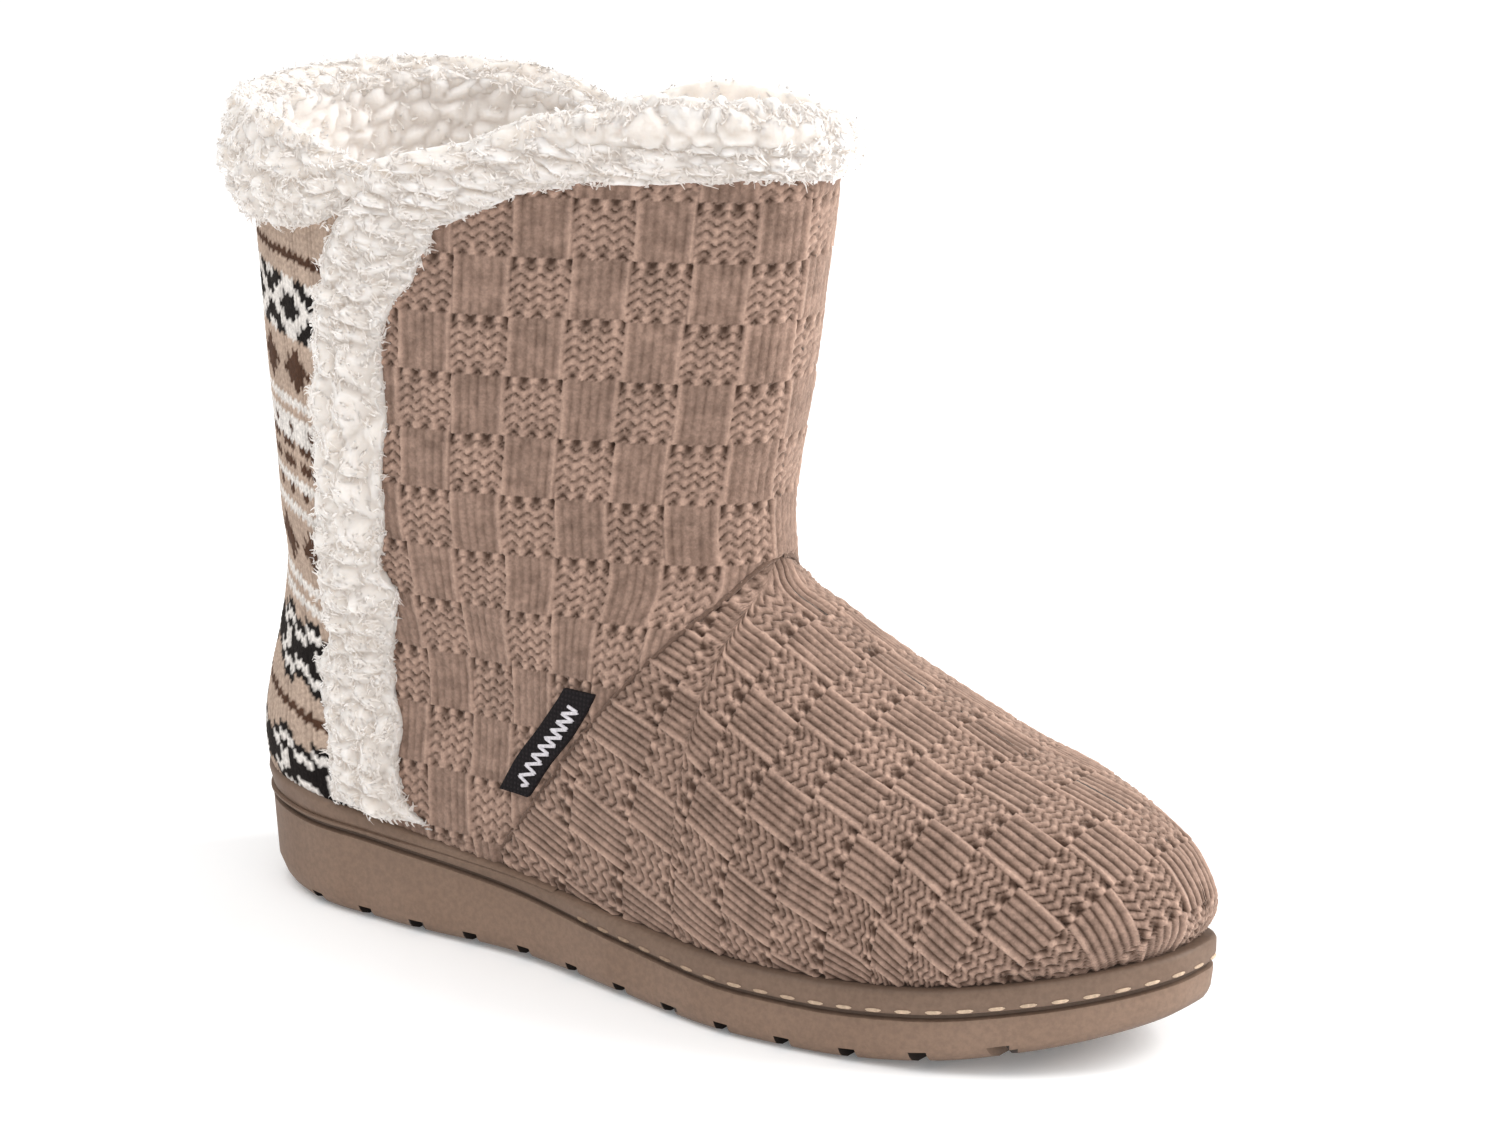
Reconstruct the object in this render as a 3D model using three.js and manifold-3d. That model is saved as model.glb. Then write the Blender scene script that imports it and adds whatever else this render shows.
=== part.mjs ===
// Knitted bootie slipper with a sherpa trim, right foot.
// Millimetres, +X to the toe, +Y to the inner side of the foot, +Z up, floor at Z = 0.
import * as THREE from 'three';
import { mergeVertices } from 'three/addons/utils/BufferGeometryUtils.js';
import Module from 'manifold-3d';

const wasm = await Module();
wasm.setup();

// Main sizes of the last and the sole
const HEEL_X = -6.0; // back of the sole's top edge
const TOE_X = 269.5; // tip of the sole's top edge
const TOE_SWING = 9.0; // how far the centre line of the foot swings inward at the toe
const SOLE_END = 0.7; // roundness of the sole's ends, 1 is an ellipse and less is squarer
const FRAME_X = 126.286; // middle of the whole shoe's box, moved to the origin
const FRAME_Y = -0.527;

// Thicknesses and gaps
const WALL = 3.0; // knit and its backing
const GAP = 0.3; // free space between neighbouring pieces
const LEDGE = 8.0; // width of the sole's rim that the upper stands on
const RECESS = 4.0; // depth of the bed inside that rim
const INSOLE_RISE = 1.5; // insole's top above the rim
const FLEECE_STRIP = 5.5; // pile height of the front trim
const FLEECE_CUFF = 9.5; // pile height of the back cuff
const LABEL_THICK = 1.2;
const UNDER = 1.0; // how far a strip's raw form goes under the upper's face before it is cut

// Mesh counts
const AROUND = 52; // columns around the upper
const SOLE_AROUND = 68;

// Outline of the sole: station from heel to toe, outer half width, inner half width
const OUTLINE = [
  [0.00, 56.0, 54.0],
  [0.10, 54.0, 51.0],
  [0.20, 47.0, 43.5],
  [0.35, 42.0, 32.0],
  [0.50, 48.5, 32.0],
  [0.65, 57.0, 39.5],
  [0.80, 58.5, 43.0],
  [0.91, 53.5, 37.5],
  [1.00, 42.0, 28.0],
];

// Height of the sole: station, underside, top rim. The arch lifts a little, the toe springs up.
const HEIGHT = [
  [0.00, 0.0, 27.0],
  [0.20, 0.0, 25.5],
  [0.36, 0.7, 23.2],
  [0.42, 0.7, 22.2],
  [0.56, 0.0, 20.6],
  [0.72, 0.0, 20.0],
  [0.82, 2.0, 21.5],
  [0.91, 6.5, 25.0],
  [1.00, 13.5, 30.0],
];

// Side of the sole from the tread up: height above the underside, inset, extra inset at the heel
const SIDE_LOW = [
  [0.0, 4.4, 3.6],
  [1.0, 1.9, 3.2],
  [3.4, 0.5, 2.4],
  [7.6, 0.0, 1.2],
];

// Side of the sole up to the rim: height below the rim, inset. A groove parts the rand from the wall.
const SIDE_HIGH = [
  [8.0, 0.1],
  [7.4, 1.3],
  [6.6, 1.3],
  [6.0, -0.2],
  [4.6, -0.6],
  [1.4, -0.6],
  [0.0, 0.7],
];

// Flex slots across the tread
const SLOT_START = 25.0;
const SLOT_PITCH = 17.7;
const SLOT_COUNT = 13;
const SLOT_WIDE = 4.2;
const SLOT_DEEP = 3.4;

// Rings of the upper from the sole to the collar.
// Height step, back x and z, front x and z, share of the sole's width, half width of the shaft,
// narrowing of the shaft to the front, share of the foot's outline, end roundness, share of rim curve
const RINGS = [
  [0.00, -3.0, 27.3, 265.5, 30.3, 0.950, 44.0, 0.00, 1.00, 0.70, 1.00],
  [0.05, -7.0, 36.0, 269.5, 38.0, 0.990, 44.0, 0.00, 1.00, 0.70, 0.80],
  [0.12, -8.5, 47.0, 264.5, 49.5, 0.990, 44.0, 0.00, 1.00, 0.75, 0.50],
  [0.18, -8.0, 57.0, 249.0, 60.0, 0.965, 44.0, 0.00, 1.00, 0.84, 0.25],
  [0.25, -6.5, 68.0, 220.0, 69.0, 0.940, 44.0, 0.00, 0.95, 0.97, 0.10],
  [0.33, -5.0, 79.0, 193.0, 79.5, 0.920, 44.0, 0.10, 0.80, 1.00, 0.00],
  [0.41, -3.5, 92.0, 167.0, 92.5, 0.920, 45.5, 0.20, 0.50, 0.96, 0.00],
  [0.48, -2.5, 105.0, 151.0, 104.5, 0.920, 47.0, 0.30, 0.20, 0.90, 0.00],
  [0.55, -2.0, 120.0, 149.5, 120.0, 0.920, 48.5, 0.33, 0.00, 0.85, 0.00],
  [0.70, -3.5, 152.0, 155.0, 153.0, 0.920, 50.5, 0.38, 0.00, 0.80, 0.00],
  [1.00, -6.5, 213.0, 164.0, 215.0, 0.920, 54.0, 0.45, 0.00, 0.78, 0.00],
  [1.10, -7.0, 233.0, 167.0, 236.0, 0.920, 55.0, 0.47, 0.00, 0.78, 0.00],
];

// Top edge of the upper: angle from the back, height step on the outer side, on the inner side
const TOP_LINE = [
  [0, 0.985, 0.985],
  [45, 0.985, 0.985],
  [68, 0.965, 0.965],
  [80, 0.945, 0.940],
  [92, 0.965, 0.945],
  [110, 0.995, 0.960],
  [135, 1.000, 0.970],
  [180, 1.000, 1.000],
];

// Front trim from the sole up the side and along the collar to the front.
// Rear edge angle and height step, front edge angle and height step
const TRIM = [
  [47.0, 0.030, 60.5, 0.030],
  [46.5, 0.100, 59.5, 0.100],
  [46.5, 0.190, 60.5, 0.190],
  [49.5, 0.290, 66.0, 0.290],
  [53.0, 0.380, 72.5, 0.380],
  [57.5, 0.460, 78.0, 0.460],
  [61.0, 0.540, 81.5, 0.540],
  [62.0, 0.650, 81.5, 0.650],
  [63.0, 0.740, 81.5, 0.735],
  [65.5, 0.810, 84.5, 0.795],
  [69.5, 0.870, 89.0, 0.850],
  [74.5, 0.930, 94.0, 0.895],
  [82.0, 0.968, 101.0, 0.925],
  [96.0, 0.998, 111.0, 0.945],
  [112.0, 1.018, 122.0, 0.955],
  [135.0, 1.020, 139.0, 0.962],
  [158.0, 1.018, 160.0, 0.960],
  [180.0, 1.020, 180.0, 0.956],
];

// Back cuff: angle from the back, lower edge and upper edge height steps
const CUFF = [
  [0, 0.860, 1.010],
  [40, 0.862, 1.010],
  [58, 0.868, 1.002],
  [68, 0.885, 0.985],
  [76, 0.925, 0.968],
];

// Label tab in the side seam: rear edge angle, front edge angle and height step along its length
const LABEL = [
  [74.0, 78.2, 0.124],
  [79.5, 84.5, 0.182],
  [88.7, 94.3, 0.246],
  [98.5, 104.0, 0.314],
];

// Monotone cubic curve through one column of a table whose first column is the place
function curve(rows, column) {
  const x = rows.map((row) => row[0]);
  const y = rows.map((row) => row[column]);
  const last = x.length - 1;
  const step = [];
  const slope = [];
  for (let i = 0; i < last; i += 1) {
    step.push(x[i + 1] - x[i]);
    slope.push((y[i + 1] - y[i]) / (x[i + 1] - x[i]));
  }
  const tangent = new Array(last + 1).fill(0);
  for (let i = 1; i < last; i += 1) {
    if (slope[i - 1] * slope[i] > 0) {
      const a = 2 * step[i] + step[i - 1];
      const b = step[i] + 2 * step[i - 1];
      tangent[i] = (a + b) / (a / slope[i - 1] + b / slope[i]);
    }
  }
  const end = (h0, h1, s0, s1) => {
    let d = ((2 * h0 + h1) * s0 - h0 * s1) / (h0 + h1);
    if (d * s0 <= 0) d = 0;
    else if (s0 * s1 <= 0 && Math.abs(d) > 3 * Math.abs(s0)) d = 3 * s0;
    return d;
  };
  tangent[0] = end(step[0], step[1], slope[0], slope[1]);
  tangent[last] = end(step[last - 1], step[last - 2], slope[last - 1], slope[last - 2]);
  return (place) => {
    const p = THREE.MathUtils.clamp(place, x[0], x[last]);
    let i = 0;
    while (i < last - 1 && p > x[i + 1]) i += 1;
    const h = step[i];
    const t = (p - x[i]) / h;
    const t2 = t * t;
    const t3 = t2 * t;
    return (2 * t3 - 3 * t2 + 1) * y[i] + (t3 - 2 * t2 + t) * h * tangent[i]
      + (3 * t2 - 2 * t3) * y[i + 1] + (t3 - t2) * h * tangent[i + 1];
  };
}

const outerWidth = curve(OUTLINE, 1);
const innerWidth = curve(OUTLINE, 2);
const underside = curve(HEIGHT, 1);
const rim = curve(HEIGHT, 2);
const ringColumns = [1, 2, 3, 4, 5, 6, 7, 8, 9, 10].map((column) => curve(RINGS, column));
const topOuter = curve(TOP_LINE, 1);
const topInner = curve(TOP_LINE, 2);

const radians = (degrees) => degrees * Math.PI / 180;
const station = (x) => THREE.MathUtils.clamp((x - HEEL_X) / (TOE_X - HEEL_X), 0, 1);
const smooth = (t) => t * t * (3 - 2 * t);

// Fixed scatter in 0..1 from a whole number
function scatter(n) {
  const s = Math.sin(n * 12.9898 + 4.1414) * 43758.5453;
  return s - Math.floor(s);
}

// Point on the sole's outline, turn 0 at the heel and half a turn at the toe, outer side first
function outlinePoint(turn) {
  const s = (1 - Math.cos(turn)) / 2;
  const reach = Math.abs(Math.sin(turn)) ** SOLE_END;
  const x = HEEL_X + (TOE_X - HEEL_X) * s;
  const side = Math.sin(turn) > 0 ? -outerWidth(s) : innerWidth(s);
  return new THREE.Vector3(x, side * reach + TOE_SWING * s, 0);
}

// Point of the outline moved inward, with an extra share near the heel
function insetPoint(turn, inset, heelInset = 0) {
  const h = 1e-3;
  const p = outlinePoint(turn);
  const along = outlinePoint(turn + h).sub(outlinePoint(turn - h)).normalize();
  const out = new THREE.Vector3(along.y, -along.x, 0);
  const nearHeel = smooth(THREE.MathUtils.clamp(1 - station(p.x) / 0.3, 0, 1));
  return p.addScaledVector(out, -inset - heelInset * nearHeel);
}

// Outer face of the upper: turn around the ring, height step up the ring family
function upperFace(turn, v) {
  const [xb, zb, xf, zf, girth, shaft, taper, foot, end, follow] = ringColumns.map((f) => f(v));
  const s = (1 - Math.cos(turn)) / 2;
  const x = xb + (xf - xb) * s;
  const st = station(x);
  const line = rim(0) + (rim(1) - rim(0)) * s;
  const z = zb + (zf - zb) * s + follow * (rim(st) - line);
  const ahead = smooth(THREE.MathUtils.clamp((s - 0.3) / 0.7, 0, 1));
  const oval = shaft * (1 - taper * ahead);
  const outer = Math.sin(turn) > 0;
  const width = (outer ? outerWidth(st) : innerWidth(st)) * girth * foot + oval * (1 - foot);
  const reach = width * Math.abs(Math.sin(turn)) ** end;
  return new THREE.Vector3(x, (outer ? -reach : reach) + TOE_SWING * st * foot, z);
}

// The same face moved out along its normal, or in when lift is negative
function skin(turn, v, lift) {
  const h = 2e-3;
  const low = Math.max(v - h, 0);
  const high = Math.min(v + h, 1.1);
  const across = upperFace(turn + h, v).sub(upperFace(turn - h, v));
  const up = upperFace(turn, high).sub(upperFace(turn, low));
  const normal = across.cross(up).normalize();
  return upperFace(turn, v).addScaledVector(normal, lift);
}

// Triangle list between rings of equal length, closed around each ring
function ringFaces(count, around, loop) {
  const faces = [];
  const pairs = loop ? count : count - 1;
  for (let j = 0; j < pairs; j += 1) {
    const a = j * around;
    const b = ((j + 1) % count) * around;
    for (let k = 0; k < around; k += 1) {
      const n = (k + 1) % around;
      faces.push(a + k, a + n, b + n, a + k, b + n, b + k);
    }
  }
  return faces;
}

// Cap of a ring whose points k and around - k face each other
function ladderFaces(start, around, flip) {
  const faces = [];
  const put = (a, b, c) => (flip ? faces.push(a, c, b) : faces.push(a, b, c));
  for (let k = 0; k < around / 2; k += 1) {
    const p = start + k;
    const q = start + k + 1;
    const r = start + (around - k - 1) % around;
    const s = start + (around - k) % around;
    if (k > 0) put(p, r, s);
    if (q !== r) put(p, q, r);
  }
  return faces;
}

// Closed geometry from points and triangles, turned right side out
function solidFrom(points, faces) {
  const flat = new Float32Array(points.length * 3);
  points.forEach((p, i) => flat.set([p.x, p.y, p.z], i * 3));
  let volume = 0;
  for (let i = 0; i < faces.length; i += 3) {
    const [a, b, c] = [points[faces[i]], points[faces[i + 1]], points[faces[i + 2]]];
    volume += a.dot(b.clone().cross(c));
  }
  const order = [...faces];
  if (volume < 0) {
    for (let i = 0; i < order.length; i += 3) {
      [order[i + 1], order[i + 2]] = [order[i + 2], order[i + 1]];
    }
  }
  const geometry = new THREE.BufferGeometry();
  geometry.setAttribute('position', new THREE.BufferAttribute(flat, 3));
  geometry.setIndex(order);
  return geometry;
}

function toManifold(geometry) {
  const plain = new THREE.BufferGeometry();
  plain.setAttribute('position', geometry.getAttribute('position'));
  if (geometry.index) plain.setIndex(geometry.index);
  const merged = mergeVertices(plain, 1e-5);
  return new wasm.Manifold(new wasm.Mesh({
    numProp: 3,
    vertProperties: new Float32Array(merged.getAttribute('position').array),
    triVerts: new Uint32Array(merged.index.array),
  }));
}

function fromManifold(manifold) {
  const mesh = manifold.getMesh();
  const geometry = new THREE.BufferGeometry();
  const positions = new Float32Array(mesh.numVert * 3);
  for (let i = 0; i < mesh.numVert; i += 1) {
    for (let c = 0; c < 3; c += 1) {
      positions[i * 3 + c] = mesh.vertProperties[i * mesh.numProp + c];
    }
  }
  geometry.setAttribute('position', new THREE.BufferAttribute(positions, 3));
  geometry.setIndex(new THREE.BufferAttribute(new Uint32Array(mesh.triVerts), 1));
  return geometry;
}

const soleTurns = Array.from({ length: SOLE_AROUND }, (_, k) => 2 * Math.PI * k / SOLE_AROUND);

// One loop of the sole at an inset, with its height worked out from where it lies
function soleLoop(inset, heelInset, heightAt) {
  return soleTurns.map((turn) => {
    const p = insetPoint(turn, inset, heelInset);
    p.z = heightAt(station(p.x));
    return p;
  });
}

function cappedStack(loops) {
  const around = loops[0].length;
  const faces = ringFaces(loops.length, around, false);
  faces.push(...ladderFaces(0, around, true));
  faces.push(...ladderFaces((loops.length - 1) * around, around, false));
  return solidFrom(loops.flat(), faces);
}

// Moulded unit sole with its rand, rim and bed, cut by the flex slots
function makeOutsole() {
  const loops = SIDE_LOW.map(([up, inset, heel]) => soleLoop(inset, heel, (s) => underside(s) + up));
  SIDE_HIGH.forEach(([down, inset]) => loops.push(soleLoop(inset, 0, (s) => rim(s) - down)));
  loops.push(soleLoop(LEDGE, 0, (s) => rim(s)));
  loops.push(soleLoop(LEDGE + 0.4, 0, (s) => rim(s) - RECESS));
  let body = toManifold(cappedStack(loops));
  for (let i = 0; i < SLOT_COUNT; i += 1) {
    const x = SLOT_START + SLOT_PITCH * i;
    const s = station(x);
    const h = 0.01;
    const rise = (underside(Math.min(s + h, 1)) - underside(s - h)) / ((TOE_X - HEEL_X) * 2 * h);
    const bar = new THREE.BoxGeometry(SLOT_WIDE, 160, SLOT_DEEP * 2);
    bar.rotateY(-Math.atan(rise));
    bar.translate(x, 0, underside(s));
    body = body.subtract(toManifold(bar));
  }
  return fromManifold(body);
}

// Padded footbed in the sole's bed
function makeInsole() {
  const low = RECESS - GAP;
  const loops = [
    soleLoop(LEDGE + 1.0, 0, (s) => rim(s) - low),
    soleLoop(LEDGE + 1.0, 0, (s) => rim(s) + INSOLE_RISE - 1.2),
    soleLoop(LEDGE + 2.2, 0, (s) => rim(s) + INSOLE_RISE),
  ];
  return cappedStack(loops);
}

// Knitted upper: one hollow wall, open at the collar and over the sole
const UPPER_STEPS = [
  0, 0.025, 0.05, 0.085, 0.12, 0.15, 0.18, 0.215, 0.25, 0.29, 0.33, 0.37, 0.41, 0.445, 0.48,
  0.515, 0.55, 0.64, 0.76, 0.88, 1.0,
];

function topStep(turn) {
  const degrees = turn * 180 / Math.PI;
  return degrees <= 180 ? topOuter(degrees) : topInner(360 - degrees);
}

const upperTurns = Array.from({ length: AROUND }, (_, k) => 2 * Math.PI * k / AROUND);

function makeUpper() {
  const outside = [];
  const inside = [];
  UPPER_STEPS.forEach((step, j) => {
    const outerRing = [];
    const innerRing = [];
    upperTurns.forEach((turn) => {
      const v = step * topStep(turn);
      const p = skin(turn, v, 0);
      const q = skin(turn, v, -WALL);
      if (j === 0) q.z = rim(station(q.x)) + GAP;
      if (j === UPPER_STEPS.length - 1) q.z = p.z;
      outerRing.push(p);
      innerRing.push(q);
    });
    outside.push(outerRing);
    inside.unshift(innerRing);
  });
  const rings = [...outside, ...inside];
  return solidFrom(rings.flat(), ringFaces(rings.length, AROUND, true));
}

// Strip that lies on the upper, from sections of outer points and matching base points
function stripFrom(sections) {
  const around = sections[0].length;
  const faces = ringFaces(sections.length, around, false);
  faces.push(...ladderFaces(0, around, true));
  faces.push(...ladderFaces((sections.length - 1) * around, around, false));
  return solidFrom(sections.flat(), faces);
}

// Filled form of the upper grown by the gap, used to cut the pieces that lie on it
function makeCore() {
  const steps = [...UPPER_STEPS];
  const rings = steps.map((step) => upperTurns.map((turn) => skin(turn, step * topStep(turn), GAP)));
  rings.push(upperTurns.map((turn) => skin(turn, 1.05, GAP)));
  rings.push(upperTurns.map((turn) => skin(turn, 1.1, GAP)));
  return toManifold(cappedStack(rings));
}

const core = makeCore();

// Section across a strip: base points go one way and pile points come back
function section(place, height, share) {
  const base = [0.06, 0.5, 0.94];
  const pile = [0.98, 0.78, 0.5, 0.22, 0.02];
  const points = pile.map((u) => {
    const round = Math.sin(Math.PI * THREE.MathUtils.clamp(u, 0.06, 0.94)) ** 0.6;
    return skin(...place(u), GAP + share * height * round);
  });
  const low = base.map((u) => skin(...place(u), -UNDER));
  return [low[0], points[4], points[3], points[2], points[1], points[0], low[2], low[1]];
}

// Locks of pile fused onto a strip
function fuseLocks(base, spots, seed) {
  let body = toManifold(base);
  spots.forEach(({ at, out }, i) => {
    const n = seed + i * 7;
    const lock = new THREE.OctahedronGeometry(1.15, 0);
    lock.rotateX(6.28 * scatter(n));
    lock.rotateZ(6.28 * scatter(n + 1));
    lock.scale(4.6 + 1.2 * scatter(n + 2), 4.6 + 1.2 * scatter(n + 3), 3.4 + scatter(n + 4));
    const turn = new THREE.Quaternion().setFromUnitVectors(new THREE.Vector3(0, 0, 1), out);
    lock.applyQuaternion(turn);
    lock.translate(at.x, at.y, at.z);
    body = body.add(toManifold(lock));
  });
  return fromManifold(body.subtract(core));
}

// Place on the front trim: t from the outer sole edge over the front to the inner sole edge
const trimRows = TRIM.map((row, i) => [i / (TRIM.length - 1), ...row]);
const trimCurves = [1, 2, 3, 4].map((column) => curve(trimRows, column));

function trimPlace(t, u) {
  const half = t <= 0.5 ? t * 2 : (1 - t) * 2;
  const [rearTurn, rearStep, frontTurn, frontStep] = trimCurves.map((f) => f(half));
  const degrees = rearTurn + (frontTurn - rearTurn) * u;
  const v = rearStep + (frontStep - rearStep) * u;
  return [radians(t <= 0.5 ? degrees : 360 - degrees), v];
}

function lockSpot(place, height) {
  const at = skin(...place, height);
  const out = skin(...place, height + 1).sub(at).normalize();
  return { at, out };
}

// Sherpa strip up both sides and over the front of the collar
function makeFrontTrim() {
  const count = 48;
  const sections = [];
  const spots = [];
  for (let i = 0; i <= count; i += 1) {
    const t = i / count;
    const ends = Math.min(1, 0.55 + 12 * Math.min(t, 1 - t));
    sections.push(section((u) => trimPlace(t, u), FLEECE_STRIP, ends));
    if (i < 2 || i > count - 2) continue;
    const u = i % 2 === 0 ? 0.28 : 0.7;
    const height = FLEECE_STRIP * 0.62 * ends + 1.2 * scatter(i);
    spots.push(lockSpot(trimPlace(t + 0.004 * scatter(i + 50), u), height));
  }
  return fuseLocks(stripFrom(sections), spots, 11);
}

// Turned-down sherpa cuff around the back of the collar
const cuffLow = curve(CUFF, 1);
const cuffHigh = curve(CUFF, 2);

function cuffPlace(degrees, u) {
  const a = Math.abs(degrees);
  const v = cuffLow(a) + (cuffHigh(a) - cuffLow(a)) * u;
  return [radians(degrees >= 0 ? degrees : 360 + degrees), v];
}

function makeBackCuff() {
  const count = 18;
  const reach = CUFF[CUFF.length - 1][0] - 8;
  const sections = [];
  const spots = [];
  for (let i = 0; i <= count; i += 1) {
    const degrees = reach * (2 * i / count - 1);
    const ends = Math.min(1, 0.45 + 4 * Math.min(i, count - i) / count);
    sections.push(section((u) => cuffPlace(degrees, u), FLEECE_CUFF, ends));
    if (i < 1 || i >= count) continue;
    [0.2, 0.8].forEach((u, j) => {
      const height = FLEECE_CUFF * 0.66 * ends + 1.2 * scatter(i * 3 + j);
      spots.push(lockSpot(cuffPlace(degrees + 2 * scatter(i + j), u), height));
    });
  }
  return fuseLocks(stripFrom(sections), spots, 301);
}

// Bare woven tab caught in the side seam
function makeLabel() {
  const sections = LABEL.map(([rear, front, v]) => {
    const turns = [radians(rear), radians((rear + front) / 2), radians(front)];
    const low = turns.map((turn) => skin(turn, v, -UNDER));
    const high = turns.map((turn) => skin(turn, v, GAP + LABEL_THICK));
    return [low[0], high[0], high[1], high[2], low[2], low[1]];
  });
  return fromManifold(toManifold(stripFrom(sections)).subtract(core));
}

const PIECES = [
  ['outsole', makeOutsole, 0x7c6a5a, 0.75],
  ['insole', makeInsole, 0xe6ddd0, 0.95],
  ['upper', makeUpper, 0xa08878, 0.9],
  ['front_trim', makeFrontTrim, 0xefe8df, 0.95],
  ['back_cuff', makeBackCuff, 0xefe8df, 0.95],
  ['label_tab', makeLabel, 0x191514, 0.7],
];

const shoe = new THREE.Group();
shoe.name = 'bootie_slipper';
PIECES.forEach(([name, make, color, roughness]) => {
  const geometry = make();
  geometry.translate(-FRAME_X, -FRAME_Y, 0);
  const mesh = new THREE.Mesh(geometry, new THREE.MeshStandardMaterial({ color, roughness }));
  mesh.name = name;
  shoe.add(mesh);
});

export default shoe;
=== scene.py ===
"""Looks of the knitted bootie slipper: knit, sherpa, moulded sole, light and camera."""
import logging
import math
from collections.abc import Callable, Iterable, Sequence
from dataclasses import dataclass
from enum import Enum

import bpy
import numpy as np
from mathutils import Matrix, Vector


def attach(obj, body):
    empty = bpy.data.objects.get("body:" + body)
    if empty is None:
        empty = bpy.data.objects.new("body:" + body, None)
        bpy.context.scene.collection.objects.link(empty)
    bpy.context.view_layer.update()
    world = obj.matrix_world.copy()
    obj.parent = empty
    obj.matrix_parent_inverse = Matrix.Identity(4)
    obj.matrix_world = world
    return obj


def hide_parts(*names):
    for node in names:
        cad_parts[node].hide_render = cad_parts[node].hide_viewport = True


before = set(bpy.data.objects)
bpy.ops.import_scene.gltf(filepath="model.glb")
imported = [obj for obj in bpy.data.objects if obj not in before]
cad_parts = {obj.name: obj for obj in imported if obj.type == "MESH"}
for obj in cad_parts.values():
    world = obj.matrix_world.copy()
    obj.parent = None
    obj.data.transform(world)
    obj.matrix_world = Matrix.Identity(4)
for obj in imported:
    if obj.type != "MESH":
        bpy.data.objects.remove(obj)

LOG = logging.getLogger("slipper")
MM = 0.001
FRAME_X = 126.286
FRAME_Y = -0.527
BODY = "root"
SCATTER = (127.1, 311.7, 74.7, 43758.5453)
WHITE = (1.0, 1.0, 1.0, 1.0)
UP = np.array([0.0, 0.0, 1.0])

# Samples of tables that are looked up: around a ring, up the rings, along a line
RING_SAMPLES = 1200
STEP_SAMPLES = 2000
LINE_SAMPLES = 4000

Array = np.ndarray
Material = bpy.types.Material
Object = bpy.types.Object
Socket = bpy.types.NodeSocket
NodeTree = bpy.types.NodeTree
Pair = tuple[float, float]
Colour = tuple[float, float, float, float]
ArrayPair = tuple[Array, Array]
Fields = dict[str, Array]
MeshData = tuple[Array, Array, Fields]
Shaded = tuple[Array, Array, Array]
Inputs = dict[str | int, object]
Place = Callable[[Array, Array], ArrayPair]


class Side(Enum):
    """Side of a right shoe, with the sign of its turn around the upper."""

    OUTER = 1
    INNER = -1


class Curve:
    """Monotone cubic through a table whose first column is the place."""

    def __init__(self, rows: Sequence[Sequence[float]]) -> None:
        """Works out the slopes.

        Args:
            rows: table rows, place first.
        """
        data = np.asarray(rows, float)
        self.x, self.y = data[:, 0], data[:, 1:]
        h = np.diff(self.x)[:, None]
        d = np.diff(self.y, axis=0) / h
        m = np.zeros_like(self.y)
        a, b = 2 * h[1:] + h[:-1], h[1:] + 2 * h[:-1]
        with np.errstate(divide="ignore", invalid="ignore"):
            mid = (a + b) / (a / d[:-1] + b / d[1:])
        m[1:-1] = np.where(d[:-1] * d[1:] > 0, mid, 0.0)
        for i, j in ((0, 1), (-1, -2)):
            end = ((2 * h[i] + h[j]) * d[i] - h[i] * d[j]) / (h[i] + h[j])
            steep = (d[i] * d[j] <= 0) & (np.abs(end) > 3 * np.abs(d[i]))
            end = np.where(steep, 3 * d[i], end)
            m[i] = np.where(end * d[i] <= 0, 0.0, end)
        self.m = m

    def __call__(self, at: Array | float) -> Array:
        """Values of all columns.

        Args:
            at: places, kept within the table.

        Returns:
            Values, columns last.
        """
        p = np.clip(np.asarray(at, float), self.x[0], self.x[-1])
        i = np.clip(np.searchsorted(self.x, p, side="right") - 1, 0, len(self.x) - 2)
        h = (self.x[i + 1] - self.x[i])[..., None]
        t = (p - self.x[i])[..., None] / h
        t2, t3 = t * t, t * t * t
        return (
            (2 * t3 - 3 * t2 + 1) * self.y[i]
            + (t3 - 2 * t2 + t) * h * self.m[i]
            + (3 * t2 - 2 * t3) * self.y[i + 1]
            + (t3 - t2) * h * self.m[i + 1]
        )


def smooth(t: Array | float) -> Array:
    """Soft step of values clipped to 0..1."""
    t = np.clip(t, 0.0, 1.0)
    return t * t * (3 - 2 * t)


def bow(t: Array) -> Array:
    """Half-round arch over -1..1, 0 beyond."""
    return np.sqrt(np.clip(1 - t**2, 0, 1))


def spot(a: Array, b: Array, size: Pair) -> Array:
    """Soft spot around 0 with a half size each way."""
    return np.exp(-((a / size[0]) ** 2) - (b / size[1]) ** 2)


def unit(vectors: Array) -> Array:
    """Vectors scaled to length 1."""
    return vectors / np.linalg.norm(vectors, axis=-1, keepdims=True)


def run_length(path: Array) -> Array:
    """Length along a path up to each of its points."""
    return np.concatenate([[0], np.cumsum(np.linalg.norm(np.diff(path, axis=0), axis=1))])


def lattice(i: Array, j: Array, seed: int) -> Array:
    """Fixed scatter for whole-number pairs.

    Args:
        i: first numbers.
        j: second numbers.
        seed: picks another scatter.

    Returns:
        Values in 0..1.
    """
    along, across, step, gain = SCATTER
    n = np.sin(i * along + j * across + seed * step) * gain
    return n - np.floor(n)


def value_noise(x: Array, y: Array, seed: int = 0) -> Array:
    """Smooth noise in 0..1 over a unit lattice.

    Args:
        x: first coordinate.
        y: second coordinate.
        seed: picks another field.

    Returns:
        Noise of the same shape.
    """
    i, j = np.floor(x), np.floor(y)
    u, v = smooth(x - i), smooth(y - j)
    low = lattice(i, j, seed) * (1 - u) + lattice(i + 1, j, seed) * u
    high = lattice(i, j + 1, seed) * (1 - u) + lattice(i + 1, j + 1, seed) * u
    return low * (1 - v) + high * v


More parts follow.
